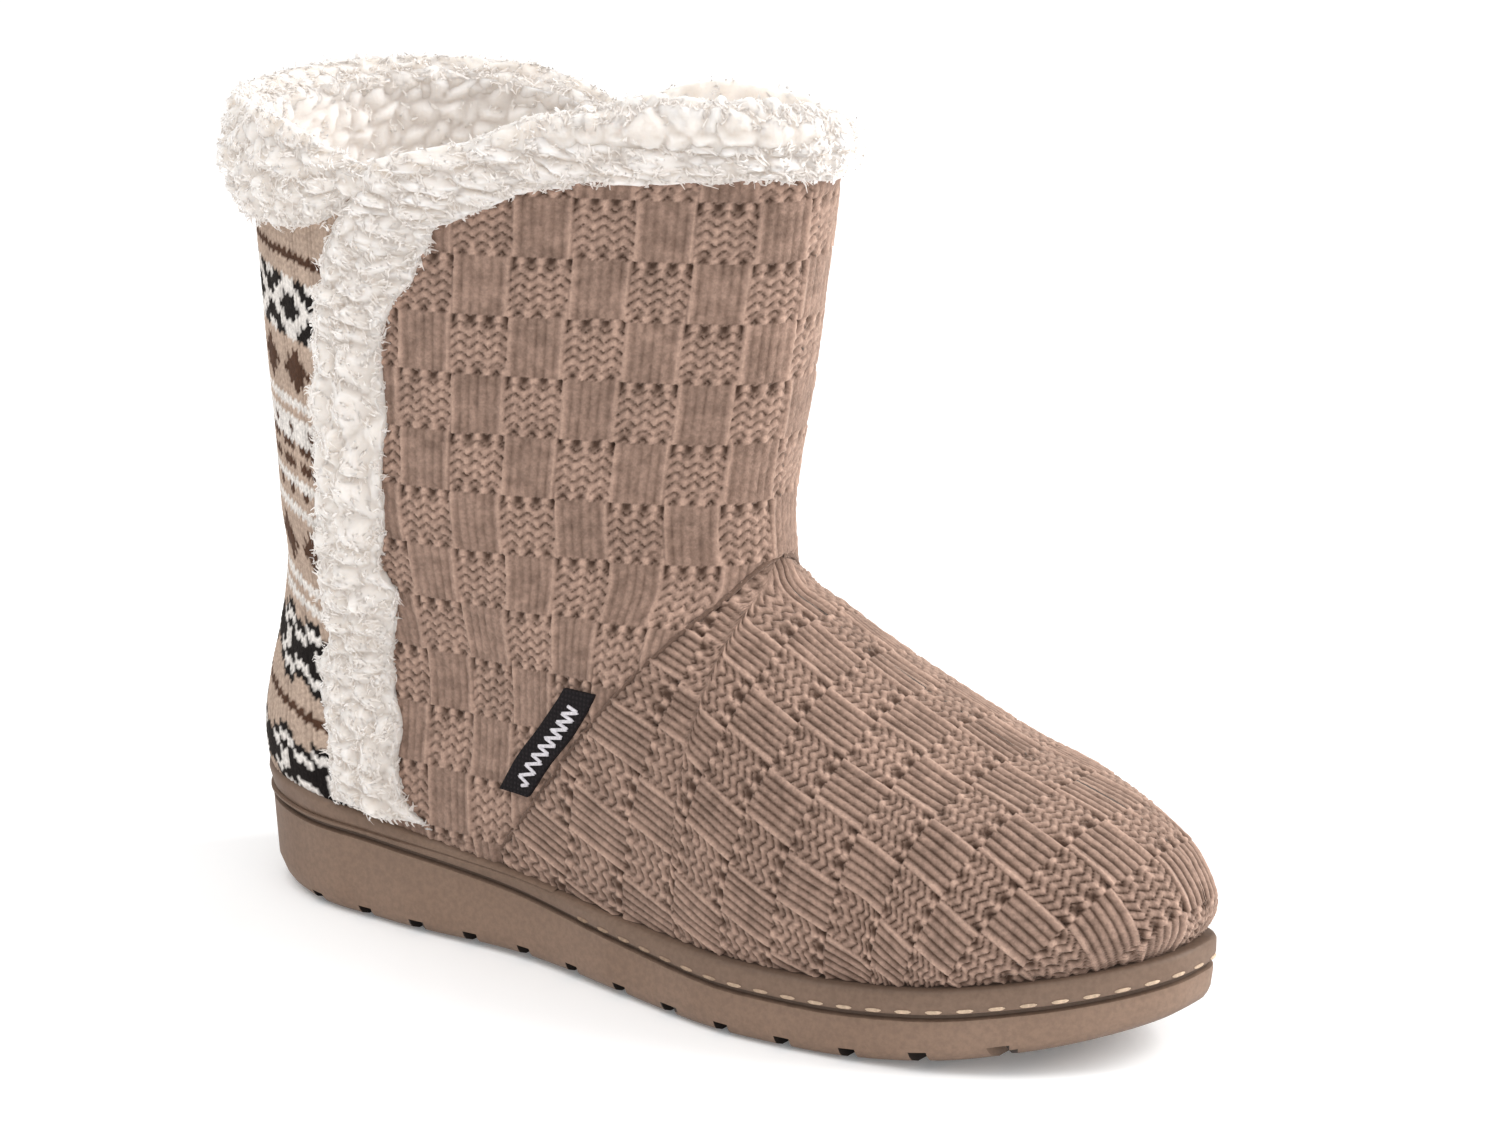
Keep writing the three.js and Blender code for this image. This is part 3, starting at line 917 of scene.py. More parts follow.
@dataclass(frozen=True)
class BasketStitch:
    """Blocks of plain and purl stitches in a checkerboard."""

    stitch: float = 4.7
    row: float = 2.53
    across: int = 3
    up: int = 6
    relief: float = 1.15
    ribs: float = 0.55
    # Starting levels of the painted shade in plain and in purl blocks
    plain_shade: float = 0.54
    purl_shade: float = 0.10

    # Stitches and rows added so that no count is negative
    far: int = 600
    # Sway in stitches or rows, and its length in millimetres
    sway: Pair = (0.05, 9.0)
    row_sway: Pair = (0.10, 11.0)
    row_jitter: float = 0.10
    jitter_size: Pair = (1.7, 1.3)
    # Forms in shares of a stitch or row: middle and half size, or half sizes both ways
    leg_slope: float = 1.9
    leg_half: float = 0.54
    rib: Pair = (0.25, 0.262)
    edge: Pair = (0.12, 0.11)
    wave: float = 0.36
    loop_half: float = 0.45
    rut_half: float = 0.10
    top_row: float = 0.915
    low_row: float = 0.085
    top_hole: Pair = (0.20, 0.52)
    low_hole: Pair = (0.17, 0.40)
    low_hole_share: float = 0.7
    top_knob: Pair = (0.15, 0.50)
    low_knob: Pair = (0.16, 0.42)
    # Weights in height and in painted shade: gaps of ribs, strand, block edge, whose shade is a
    # painted highlight
    PLAIN = ((0.42, 0.16, 0.45), (0.62, 0.14, 0.48))
    plain_height: float = 0.45
    # Weights in height and in painted shade: loop, its bump, knob, hole, rut; holes and ruts are
    # painted dark
    PURL = ((0.46, 0.26, 0.22, 0.70, 0.25), (0.46, 0.36, 0.62, 1.0, 0.22))
    # Weights in height and in tone that differs at random: stitch to stitch, wider cloud
    UNEVEN = ((0.10, 0.10), (0.16, 0.22))
    cloud_size: float = 2.6

    def __call__(self, p: Array, q: Array) -> ArrayPair:
        """Relief of the knit.

        Args:
            p: millimetres across the wales.
            q: millimetres along the wales.

        Returns:
            Height in millimetres and painted shade, 0 in the gaps and 1 on the crests, with tone that
            differs at random mixed in.
        """
        u = p / self.stitch + self.sway[0] * np.sin(q / self.sway[1]) + self.far
        r = q / self.row + self.row_sway[0] * np.sin(p / self.row_sway[1]) + self.far
        wide, tall = self.jitter_size
        r = r + self.row_jitter * (value_noise(np.floor(u) * wide, np.floor(r) * tall, 3) - 0.5)
        plain = (np.floor(u / self.across) + np.floor(r / self.up)) % 2 == 0
        uneven = lattice(np.floor(2 * u), np.floor(r), 7) - 0.5
        cloud = value_noise(p / self.cloud_size + 90, q / self.cloud_size + 90, 9) - 0.5
        h, s = (
            np.where(plain, ribs, loops) + single * uneven + wide * cloud
            for ribs, loops, (single, wide) in zip(self.plain(u, r), self.purl(u, r), self.UNEVEN)
        )
        return self.relief * h, np.clip(s, 0, 1)

    def plain(self, u: Array, r: Array) -> ArrayPair:
        """Ribs of plain stitches with a raised edge on both sides of a block.

        Args:
            u: stitches across.
            r: rows up.

        Returns:
            Height and painted shade.
        """
        side = np.abs(u - np.floor(u) - 0.5)
        strand = bow(((r - self.leg_slope * side) % 1.0 - 0.5) / self.leg_half)
        rib = np.clip(1 - ((side - self.rib[0]) / self.rib[1]) ** 2, 0, 1)
        edge = np.exp(-(((self.to_side(u) - self.edge[0]) / self.edge[1]) ** 2))
        h, s = (
            start - gap * self.ribs * (1 - rib) + leg * strand * rib + border * edge
            for start, (gap, leg, border) in zip((self.plain_height, self.plain_shade), self.PLAIN)
        )
        return h, s

    def purl(self, u: Array, r: Array) -> ArrayPair:
        """Waved loops of purl stitches with holes and knobs along both ends of a block.

        Args:
            u: stitches across.
            r: rows up.

        Returns:
            Height and painted shade.
        """
        fu, fr = u - np.floor(u), r - np.floor(r)
        side, between = np.abs(fu - 0.5), np.minimum(fu, 1 - fu)
        wave = 0.5 + self.wave * (1 - 4 * side)
        loop = bow(((fr - wave + 0.5) % 1.0 - 0.5) / self.loop_half)
        bump = 0.5 + 0.5 * np.cos(4 * np.pi * u)
        share = r / self.up - np.floor(r / self.up)
        top, low = (share - self.top_row) * self.up, (share - self.low_row) * self.up
        hole = spot(between, top, self.top_hole)
        hole = hole + self.low_hole_share * spot(side, low, self.low_hole)
        knob = spot(side, top, self.top_knob) + spot(between, low, self.low_knob)
        rut = np.exp(-((self.to_side(u) / self.rut_half) ** 2))
        h, s = (
            start + loop * (yarn + crest * bump) + dot * knob - gap * hole - line * rut
            for start, (yarn, crest, dot, gap, line) in zip((0.0, self.purl_shade), self.PURL)
        )
        return h, s

    def to_side(self, u: Array) -> Array:
        """Stitches to the nearer side of the block."""
        share = u / self.across - np.floor(u / self.across)
        return np.minimum(share, 1 - share) * self.across


@dataclass(frozen=True)
class PatternStitch:
    """Plain stitches in coloured yarn from a chart of bands."""

    stitch: float = 2.75
    row: float = 2.35
    relief: float = 0.75

    DYES = {
        "K": rgb(14, 9, 9),
        "W": rgb(236, 230, 224),
        "B": rgb(80, 54, 39),
        "T": rgb(190, 168, 151),
    }
    # Rows of the charts, a letter for each stitch
    LATTICE = ("WKKWWKKW", "KKWWWWKK", "KWWKKWWK", "WWKKKKWW", "KWWKKWWK", "KKWWWWKK", "WKKWWKKW")
    LOZENGE = ("TTBTTT", "TBBBTT", "BBBBBT", "TBBBTT", "TTBTTT")
    DOTS = ("W", "WWBW", "W")
    DASHES = ("BBBT", "T", "BBBT")
    PETALS = ("TTKKTTKKTT", "TKWWKKWWKT", "KWKKWWKKWK", "KKWKKKKWKK")
    FLOWER = PETALS + PETALS[::-1]
    STRIPES = ("T", "W", "TTB", "T", "W", "T")
    # Bands from the cuff down; a band given as one word has a single dye in each row
    BANDS = ("TTBTT", LATTICE, "T", LOZENGE, "TWT", DOTS, DASHES, STRIPES)
    BANDS += (LOZENGE, "TWTWT", FLOWER, "TTBTT", FLOWER, "TWKWT")

    # Stitches added so that the chart's middle falls on the back
    far: float = 600.5
    # Sway in rows, and its length in millimetres
    sway: Pair = (0.05, 7.0)
    # Forms in shares of a stitch or row
    leg_slope: float = 1.15
    leg_half: float = 0.55
    column: Pair = (0.25, 0.275)
    row_start: float = 0.3
    # Least share of a column's height and of its painted shade
    least_height: float = 0.4
    least_shade: float = 0.25
    # Stitches after which all charts repeat
    repeat: int = 120

    def __call__(self, p: Array, q: Array) -> tuple[Array, Array, Array]:
        """Relief and dye of the knit.

        Args:
            p: millimetres across from the middle of the back.
            q: millimetres down from the cuff.

        Returns:
            Height, painted shade and dye colour per point.
        """
        u = p / self.stitch + self.far
        r = q / self.row + self.sway[0] * np.sin(p / self.sway[1])
        side = np.abs(u - np.floor(u) - 0.5)
        level = r + self.leg_slope * side
        strand = bow((level % 1.0 - 0.5) / self.leg_half)
        column = bow((side - self.column[0]) / self.column[1])
        h = column * (self.least_height + (1 - self.least_height) * strand)
        shade = np.clip(self.least_shade + (1 - self.least_shade) * h, 0, 1)
        chart = self.chart()
        k = np.clip(np.floor(level - self.row_start), 0, len(chart) - 1).astype(int)
        return self.relief * h, shade, chart[k, np.floor(u).astype(int) % self.repeat]

    def chart(self) -> Array:
        """Dye of every stitch of all bands, rows first, colours last."""
        lines = [(line * self.repeat)[: self.repeat] for band in self.BANDS for line in band]
        return np.array([[self.DYES[dye] for dye in line] for line in lines])


class Seam:
    """Line where the foot panel is sewn to the shaft panel."""

    # Height and x
    ROUTE = (
        (28.0, 87.5), (45.4, 101.0), (61.0, 112.7), (76.4, 125.3), (88.6, 135.1),
        (102.6, 146.0), (108.6, 150.3),
    )
    # Depth and half width of the drawn-in knit, painted shade beside the seam and its half width
    SINK = (0.9, 2.5)
    DIM = (0.45, 2.0)
    # Millimetres behind per millimetre above the seam's top
    FALL = 5

    def __init__(self) -> None:
        """Makes the curve of the seam's x over its height."""
        self.curve = Curve(self.ROUTE)
        self.top = self.ROUTE[-1][0]

    def ahead(self, points: Array) -> Array:
        """How far points lie ahead of the seam; above its top all are behind.

        Args:
            points: points, coordinates last.

        Returns:
            Millimetres of x.
        """
        x, z = points[..., 0], points[..., 2]
        gap = x - self.curve(z)[..., 0]
        return np.where(z > self.top, np.minimum(gap, -self.FALL * (z - self.top)), gap)

    def drawn_in(self, points: Array) -> ArrayPair:
        """Pull of the seam on the knit beside it, and the painted shade there.

        Args:
            points: points, coordinates last.

        Returns:
            Millimetres that the knit sinks, and the share of its brightness left by the painted shade
            beside the seam.
        """
        away = np.abs(self.ahead(points))
        sink, dim = (size * smooth(1 - away / half) for size, half in (self.SINK, self.DIM))
        return sink, 1 - dim


SEAM = Seam()


@dataclass(frozen=True)
class Crease:
    """Soft trough in the knit of both sides; a negative depth makes a ridge."""

    x: float
    z: float
    lean: float
    long: float
    wide: float
    deep: float
    inner_share: float = 0.75

    def __call__(self, points: Array) -> Array:
        """Change of the surface's height.

        Args:
            points: points, coordinates last.

        Returns:
            Millimetres.
        """
        a = math.radians(self.lean)
        dx, dz = points[..., 0] - self.x, points[..., 2] - self.z
        along = (dx * math.cos(a) + dz * math.sin(a)) / self.long
        across = (dz * math.cos(a) - dx * math.sin(a)) / self.wide
        share = np.where(points[..., 1] < 0, 1.0, self.inner_share)
        return -self.deep * share * np.exp(-(along**2) - across**2)


CREASES = (
    Crease(148.0, 93.0, 53.0, 16.0, 5.5, 1.1),
    Crease(121.0, 113.0, -12.0, 26.0, 6.0, 0.9),
    Crease(119.0, 126.0, -12.0, 26.0, 6.5, -0.7),
    Crease(97.0, 137.0, -18.0, 20.0, 6.0, 0.7),
    Crease(206.0, 46.0, 70.0, 22.0, 7.0, 0.7),
    Crease(188.0, 50.0, 66.0, 20.0, 7.0, -0.5),
    Crease(77.0, 74.0, 82.0, 24.0, 6.0, 0.7),
    Crease(2.0, 92.0, 0.0, 30.0, 9.0, 0.9),
    Crease(2.0, 66.0, 0.0, 30.0, 10.0, -0.6),
)


def crease_height(points: Array) -> Array:
    """Sum of all creases at points, in millimetres."""
    return sum(crease(points) for crease in CREASES)


@dataclass
class ShaftPanel:
    """Front panel of the shaft and the quarter below it, knitted in basket stitch."""

    side: Side
    cell: float
    knit: BasketStitch = BasketStitch(ribs=0.30, plain_shade=0.43, purl_shade=0.14)
    back_turn: float = 48.0
    girth_step: float = 0.62
    cross: float = 0.50
    top_gap: float = 0.004
    shift: Pair = (-4.0, -3.0)
    overlap: float = 0.4
    lift: float = -0.35

    def build(self) -> MeshData:
        """Relief mesh of one half, from the front line to under the side strip.

        Returns:
            Points, quads and point attributes.
        """
        back = math.radians(self.back_turn)
        p, turn_ref = LAST.columns(math.pi, back, self.girth_step, self.cell)
        cols = len(p)
        steps = np.linspace(0, 1.0, STEP_SAMPLES)
        level = LAST.rings(steps)[:, 1]
        rows = int((level[-1] - level[0]) / self.cell)
        v_line = np.interp(np.linspace(level[0], level[-1], rows), level, steps)
        v = np.repeat(v_line[:, None], cols, 1)
        v = np.minimum(v, LAST.top(self.side.value * turn_ref)[None, :] - self.top_gap)
        q = np.interp(v, steps, level)
        high = LAST.rings(np.maximum(v, self.cross))
        x = high[..., 0] + (high[..., 2] - high[..., 0]) * (1 - np.cos(turn_ref))[None, :] / 2
        turn = LAST.turn_at(LAST.rings(v), x) * self.side.value
        across, along = self.shift
        wales = np.broadcast_to(p * self.side.value + across, v.shape)
        h, shade = self.knit(wales, q + along)
        flat = LAST.face(turn, v)
        sink, left = SEAM.drawn_in(flat)
        points = LAST.skin(turn, v, self.lift + h - sink + crease_height(flat))
        quads = grid_quads(rows, cols)
        if self.side is Side.OUTER:
            quads = quads[:, ::-1]
        middle = flat.reshape(-1, 3)[quads].mean(1)
        inside = (np.abs(turn) - LAST.strip_middle(v)).ravel()[quads].mean(1)
        quads = quads[(SEAM.ahead(middle) < self.overlap) & (inside > 0)]
        # Painted shade of the knit, darker beside the seam
        return drop_unused(points.reshape(-1, 3), quads, {"shade": (shade * left).ravel()})


@dataclass
class VampPanel:
    """Foot panel from the instep over the toe, its wales along the foot."""

    side: Side
    cell: float
    knit: BasketStitch = BasketStitch(ribs=1.0, relief=1.25, plain_shade=0.51, purl_shade=0.0)
    samples: int = 220
    rounds: int = 6
    start: float = 84.0
    top: float = 0.5
    toe_gap: float = 0.05
    pivot: Pair = (205.0, -25.0)
    steepest: float = 1.25
    pace: Pair = (0.72, 1.10)
    pace_from: float = 110.0
    pace_over: float = 75.0
    run_on: float = 0.2
    slant: float = 0.12
    slant_on_ridge: float = 0.4
    slant_over: float = 90.0
    slant_end: float = 150.0
    slant_fade: float = 60.0
    slant_about: float = 50.0
    shift: Pair = (7.0, 3.0)
    overlap: float = 0.4
    lift: float = -0.35

    def build(self) -> MeshData:
        """Relief mesh of one half, from the ridge down to the sole.

        Returns:
            Points, quads and point attributes.
        """
        x, z, v_top, way = self.planes()
        tilt = np.maximum(x - self.pivot[0], 0) / (z - self.pivot[1])
        plane = (x[:, None], z[:, None], tilt[:, None])
        fine = np.linspace(0, 1, self.samples)
        v = v_top[:, None] * (1 - fine[None, :] ** 2)
        points = LAST.face(self.turn_on(plane, v), v)
        seg = np.linalg.norm(np.diff(points, axis=1), axis=2)
        arc = np.concatenate([np.zeros((len(x), 1)), np.cumsum(seg, 1)], 1)
        total = arc[:, -1]
        cols = int(total.max() / self.cell)
        share = np.linspace(0, 1, cols)
        v_fit = np.stack([np.interp(share * total[i], arc[i], v[i]) for i in range(len(x))])
        turn = self.turn_on(plane, v_fit)
        h, shade = self.knit(*self.wales(x, way, total, share))
        flat = LAST.face(turn, v_fit)
        sink, left = SEAM.drawn_in(flat)
        relief = LAST.skin(turn, v_fit, self.lift + h - sink + crease_height(flat))
        quads = grid_quads(len(x), cols)
        if self.side is Side.INNER:
            quads = quads[:, ::-1]
        middle = flat.reshape(-1, 3)[quads].mean(1)
        quads = quads[SEAM.ahead(middle) > -self.overlap]
        # Painted shade of the knit, darker beside the seam
        return drop_unused(relief.reshape(-1, 3), quads, {"shade": (shade * left).ravel()})

    def planes(self) -> tuple[Array, Array, Array, Array]:
        """Planes across the foot from behind the instep to the toe.

        Returns:
            x, z and height step where each plane meets the ridge, and its place along the wales.
        """
        steps = np.linspace(self.top, 0.0, LINE_SAMPLES)
        ridge = LAST.face(np.full(len(steps), math.pi), steps)[:, [0, 2]]
        step = np.linalg.norm(np.diff(ridge, axis=0), axis=1)
        behind = ridge[1:, 0] < self.pivot[0]
        step = np.where(behind, np.minimum(step, self.steepest * np.diff(ridge[:, 0])), step)
        run = np.concatenate([[0], np.cumsum(step)])
        far = np.linspace(0, run[-1] - self.toe_gap, int(run[-1] / self.cell))
        near = np.arange(self.start, ridge[0, 0], self.cell)
        x = np.concatenate([near, np.interp(far, run, ridge[:, 0])])
        z = np.concatenate([np.full(len(near), ridge[0, 1]), np.interp(far, run, ridge[:, 1])])
        v = np.concatenate([np.full(len(near), self.top), np.interp(far, run, steps)])
        slow, fast = self.pace
        pace = slow + (fast - slow) * smooth((x[1:] - self.pace_from) / self.pace_over)
        forward = np.where(x[1:] < self.pivot[0], pace * np.diff(x), far[1] - far[0])
        way = np.concatenate([[0], np.cumsum(forward)])
        return x, z, v, way - way[len(near)]

    def wales(self, x: Array, way: Array, total: Array, share: Array) -> ArrayPair:
        """Places in the knit, slanted on the instep.

        Args:
            x: places of the planes along the foot.
            way: their places along the wales.
            total: length of each plane's line from the ridge to the sole.
            share: shares of that length.

        Returns:
            Millimetres across and along the wales.
        """
        first = np.searchsorted(way, 0.0)
        way, p = way[:, None], share[None, :] * total[:, None]
        full = total[first] + self.run_on * (x[first] - x[:, None])
        p = np.where(way < 0, full - (total[:, None] - p), p)
        drift = self.slant_on_ridge + (1 - self.slant_on_ridge) * smooth(p / self.slant_over)
        drift = self.slant * drift * smooth((self.slant_end - way) / self.slant_fade)
        across, along = p - drift * (way - self.slant_about), way + drift * p
        return across * self.side.value + self.shift[0], along + self.shift[1]

    def turn_on(self, plane: tuple[Array, Array, Array], v: Array) -> Array:
        """Angles where the rings meet planes across the foot.

        Args:
            plane: x and z of a point of each plane, and its lean in x per z.
            v: height steps of the rings.

        Returns:
            Angles on this side of the foot.
        """
        x0, z0, tilt = plane
        ring = LAST.rings(v)
        z = ring[..., 3]
        for _ in range(self.rounds):
            turn = LAST.turn_at(ring, x0 + tilt * (z - z0)) * self.side.value
            z = LAST.face(turn, v)[..., 2]
        return turn


@dataclass
class HeelPanel:
    """Back panel in coloured pattern knit, from strip to strip."""

    cell: float = 0.75
    knit: PatternStitch = PatternStitch()
    samples: int = 1500
    reach: float = 78.0
    girth_step: float = 0.6
    top: float = 0.93
    first_row: float = 10.5
    droop: Pair = (0.09, 0.16)
    droop_from: float = 70.0
    droop_over: float = 70.0
    overlap: float = 0.01
    lift: float = -0.25

    def build(self) -> MeshData:
        """Relief mesh of the whole panel.

        Returns:
            Points, quads and point attributes.
        """
        half = math.radians(self.reach)
        p, turn = LAST.columns(-half, half, self.girth_step, self.cell)
        steps = np.linspace(0, self.top, self.samples)
        level = LAST.rings(steps)[:, 1]
        rows = int((level[-1] - level[0]) / self.cell)
        q = np.linspace(level[0], level[-1], rows)
        v = np.interp(q, level, steps)
        p, q = np.meshgrid(p - p[-1] / 2, level[-1] - q)
        least, more = self.droop
        droop = np.abs(p) * (least + more * smooth((q - self.droop_from) / self.droop_over))
        h, shade, dye = self.knit(p, q - self.first_row - droop)
        turns, v_all = np.broadcast_to(turn, h.shape), np.broadcast_to(v[:, None], h.shape)
        points = LAST.skin(turns, v_all, self.lift + h + crease_height(LAST.face(turns, v_all)))
        quads = grid_quads(rows, len(turn))
        over = (np.abs(turn)[None, :] - LAST.strip_middle(v)[:, None]).ravel()[quads].mean(1)
        fields = {"shade": shade.ravel(), "dye": dye.reshape(-1, 4)}
        return drop_unused(points.reshape(-1, 3), quads[over < self.overlap], fields)


@dataclass
class Upper:
    """Knitted boot: shaft, foot and heel panels, their seams and the fleece lining."""

    knit: Material
    pattern: Material
    fleece: Material
    outer_cell: float = 0.56
    inner_cell: float = 0.90
    foot_cell: float = 0.70
    seam_points: int = 240
    seam_start: float = 1.0
    seam_radius: float = 0.7
    seam_sink: float = -1.0
    seam_shade: float = 0.15
    seam_highest: float = 0.52
    seam_rounds: int = 40
    seam_sides: int = 8
    lining_rows: int = 116
    lining_cols: int = 270
    lining_tuft: float = 6.0
    lining_seed: int = 5
    lining_deep: float = 2.2
    lining_edge: float = -0.4
    lining_crowd: float = 1.5
    # Painted shade of the lining: darker low inside and in the creases between tufts; level on its top
    # edge
    lining_shade: Pair = (0.2, 0.6)
    crease_shade: float = 0.6
    edge_shade: float = 0.8

    def build(self) -> None:
        """Makes and dresses all pieces of the upper."""
        for side, cell in ((Side.OUTER, self.outer_cell), (Side.INNER, self.inner_cell)):
            word = side.name.lower()
            shaft, vamp = ShaftPanel(side, cell), VampPanel(side, min(cell, self.foot_cell))
            for name, panel in (("shaft_knit", shaft), ("vamp_knit", vamp)):
                obj = build_mesh(f"{name}_{word}", *panel.build())
                place_piece(obj, "upper", self.knit)
            place_piece(self.seam(side), "upper", self.knit)
        obj = build_mesh("heel_pattern_knit", *HeelPanel().build())
        place_piece(obj, "upper", self.pattern)
        place_piece(self.lining(), "upper", self.fleece)

    def seam(self, side: Side) -> Object:
        """Sewn cord along the foot seam, sunk and painted in deep shade.

        Args:
            side: side of the shoe.

        Returns:
            The piece.
        """
        z = np.linspace(SEAM.ROUTE[0][0] + self.seam_start, SEAM.top, self.seam_points)
        x = SEAM.curve(z)[:, 0]
        v = self.step_at(x, z)
        turn = LAST.turn_at(LAST.rings(v), x) * side.value
        path = LAST.skin(turn, v, self.seam_sink)
        points, faces = tube(path, np.full(len(path), self.seam_radius), self.seam_sides)
        # The sunk cord is painted in deep shade
        shade = np.full(len(points), self.seam_shade)
        return build_mesh(f"foot_seam_{side.name.lower()}", points, faces, {"shade": shade})

    def step_at(self, x: Array, z: Array) -> Array:
        """Height step of the ring that passes a side point.

        Args:
            x: places along the foot.
            z: heights.

        Returns:
            Height steps.
        """
        low, high = np.zeros_like(x), np.full_like(x, self.seam_highest)
        for _ in range(self.seam_rounds):
            mid = (low + high) / 2
            at = LAST.face(LAST.turn_at(LAST.rings(mid), x), mid)[:, 2]
            low, high = np.where(at < z, mid, low), np.where(at < z, high, mid)
        return (low + high) / 2

    def lining(self) -> Object:
        """Inner face of the wall, tufted and with painted shade, and its top edge.

        Returns:
            The piece.
        """
        rows, cols = self.lining_rows, self.lining_cols
        turn = np.linspace(0, math.tau, cols, endpoint=False)
        top = LAST.top(turn)
        share = 1 - (1 - np.linspace(0, 1, rows)[:, None]) ** self.lining_crowd
        v = share * top[None, :]
        turns = np.broadcast_to(turn, v.shape)
        flat = LAST.face(turns, v)
        step = np.linalg.norm(np.diff(flat, axis=1, append=flat[:, :1]), axis=2)
        tufts = TuftField(self.lining_tuft, self.lining_seed)
        lump = tufts(np.cumsum(step, axis=1), flat[..., 2])[0]
        inner = LAST.skin(turns, v, -LAST.WALL - self.lining_deep * lump)
        inner[0, :, 2] = LAST.rim(inner[0, :, 0]) + LAST.GAP
        edge = LAST.skin(turn, top, self.lining_edge)
        points = np.concatenate([inner.reshape(-1, 3), edge])
        quads = grid_quads(rows + 1, cols, True)[:, ::-1]
        # Painted shade, darker low inside the boot and in the creases between tufts
        low, more = self.lining_shade
        wool = self.crease_shade + (1 - self.crease_shade) * lump
        shade = ((low + more * share**2) * wool).ravel()
        shade = np.concatenate([shade, np.full(cols, self.edge_shade)])
        return build_mesh("fleece_lining", points, quads, {"shade": shade})


def side_axes(axis: Array, upright: float) -> ArrayPair:
    """Two directions square to each axis.

    Args:
        axis: unit vectors, one a row.
        upright: height share above which an axis counts as upright.

    Returns:
        First and second directions.
    """
    ref = np.where(np.abs(axis[:, 2:3]) < upright, [[0.0, 0.0, 1.0]], [[1.0, 0.0, 0.0]])
    a = unit(np.cross(axis, ref))
    return a, np.cross(axis, a)


def tube(path: Array, radius: Array, sides: int) -> ArrayPair:
    """Round tube along a path, open at both ends.

    Args:
        path: centre points.
        radius: radius at each point.
        sides: points around.

    Returns:
        Points and quads.
    """
    a, b = side_axes(unit(np.gradient(path, axis=0)), upright=0.9)
    turn = np.linspace(0, math.tau, sides, endpoint=False)
    ring = a[:, None] * np.cos(turn)[None, :, None] + b[:, None] * np.sin(turn)[None, :, None]
    points = path[:, None] + ring * radius[:, None, None]
    return points.reshape(-1, 3), grid_quads(len(path), sides, True)


@dataclass(frozen=True)
class Pile:
    """Clumps of fine bent strands grown on points with directions."""

    seed: int
    strands: int
    reach: float
    length: float
    thick: float

    rings: int = 4
    sides: int = 3
    # Stray of a clump's axis and of the lean of clumps and strands
    axis_stray: float = 0.22
    clump_stray: float = 0.45
    strand_stray: float = 0.35
    # Ranges around the mean length, bend and thickness
    clump_length: Pair = (0.75, 1.2)
    strand_length: Pair = (0.75, 1.15)
    bend: Pair = (0.6, 1.0)
    thickness: Pair = (0.75, 1.25)
    # Curl over the length; start of the wave, its size in millimetres, its angle
    curl: float = 1.5
    phase: float = 6.3
    wave: float = 0.45
    wave_angle: tuple[int, int] = (3, 6)
    # Loss of width up the clump, share of the length that rises, loss of radius
    gather: float = 0.5
    rise: float = 0.8
    taper: float = 0.7
    # Painted shade: level at the root, more at the tip, stray
    shade: tuple[float, float, float] = (0.75, 0.3, 0.1)

    def grow(self, root: Array, out: Array, flow: Array) -> Shaded:
        """Grows one clump on every root.

        Args:
            root: base points.
            out: directions.
            flow: ways in which the clumps lean over.

        Returns:
            Points, quads and painted shade of all strands.
        """
        n, m, rng = len(root), self.strands, np.random.default_rng(self.seed)
        axis = unit(unit(out) + rng.normal(0, self.axis_stray, (n, 3)))
        a, b = side_axes(axis, upright=0.8)
        axis, a, b = axis[:, None, None], a[:, None, None], b[:, None, None]
        base = rng.uniform(0, math.tau, (n, m, 1))
        far = np.sqrt(rng.uniform(0, 1, (n, m, 1))) * self.reach
        t = np.linspace(0, 1, self.rings)[None, None, :]
        size = self.length * rng.uniform(*self.clump_length, (n, 1, 1))
        size = size * rng.uniform(*self.strand_length, (n, m, 1))
        lean = flow[:, None, None]
        flick = np.arctan2(np.sum(lean * b, axis=-1), np.sum(lean * a, axis=-1))
        flick = flick + rng.normal(0, self.clump_stray, (n, 1, 1))
        flick = flick + rng.normal(0, self.strand_stray, (n, m, 1))
        bend = size * rng.uniform(*self.bend, (n, 1, 1)) * t**self.curl
        phase = rng.uniform(0, self.phase, (n, m, 1))
        wave = self.wave * np.sin(phase + rng.uniform(*self.wave_angle, (n, m, 1)) * t) * t
        narrow = 1 - self.gather * t
        ca = far * np.cos(base) * narrow + bend * np.cos(flick) + wave
        cb = far * np.sin(base) * narrow + bend * np.sin(flick) - wave
        rise = self.rise * size * t * (1 - 0.5 * t)
        centre = root[:, None, None] + axis * rise[..., None] + a * ca[..., None] + b * cb[..., None]
        radius = self.thick * rng.uniform(*self.thickness, (n, m, 1)) * (1 - self.taper * t**2)
        turn = np.linspace(0, math.tau, self.sides, endpoint=False)
        ring = a[..., None, :] * np.cos(turn)[:, None] + b[..., None, :] * np.sin(turn)[:, None]
        points = centre[..., None, :] + ring * radius[..., None, None]
        quads = grid_quads(self.rings, self.sides, True)
        faces = quads[None] + (np.arange(n * m) * self.rings * self.sides)[:, None, None]
        low, more, stray = self.shade
        shade = np.clip(low + more * t + rng.uniform(-stray, stray, (n, m, 1)), 0, 1)
        shade = np.repeat(shade[..., None], self.sides, 3)
        return points.reshape(-1, 3), faces.reshape(-1, 4), shade.ravel()


def join_parts(parts: Iterable[Shaded]) -> MeshData:
    """Joins meshes of quads with shades into one.

    Args:
        parts: points, quads and shade of each mesh.

    Returns:
        Points, quads and the shade field.
    """
    points, faces, shades, start = [], [], [], 0
    for pts, quads, shade in parts:
        points.append(pts)
        faces.append(quads + start)
        shades.append(shade)
        start += len(pts)
    return np.concatenate(points), np.concatenate(faces), {"shade": np.concatenate(shades)}


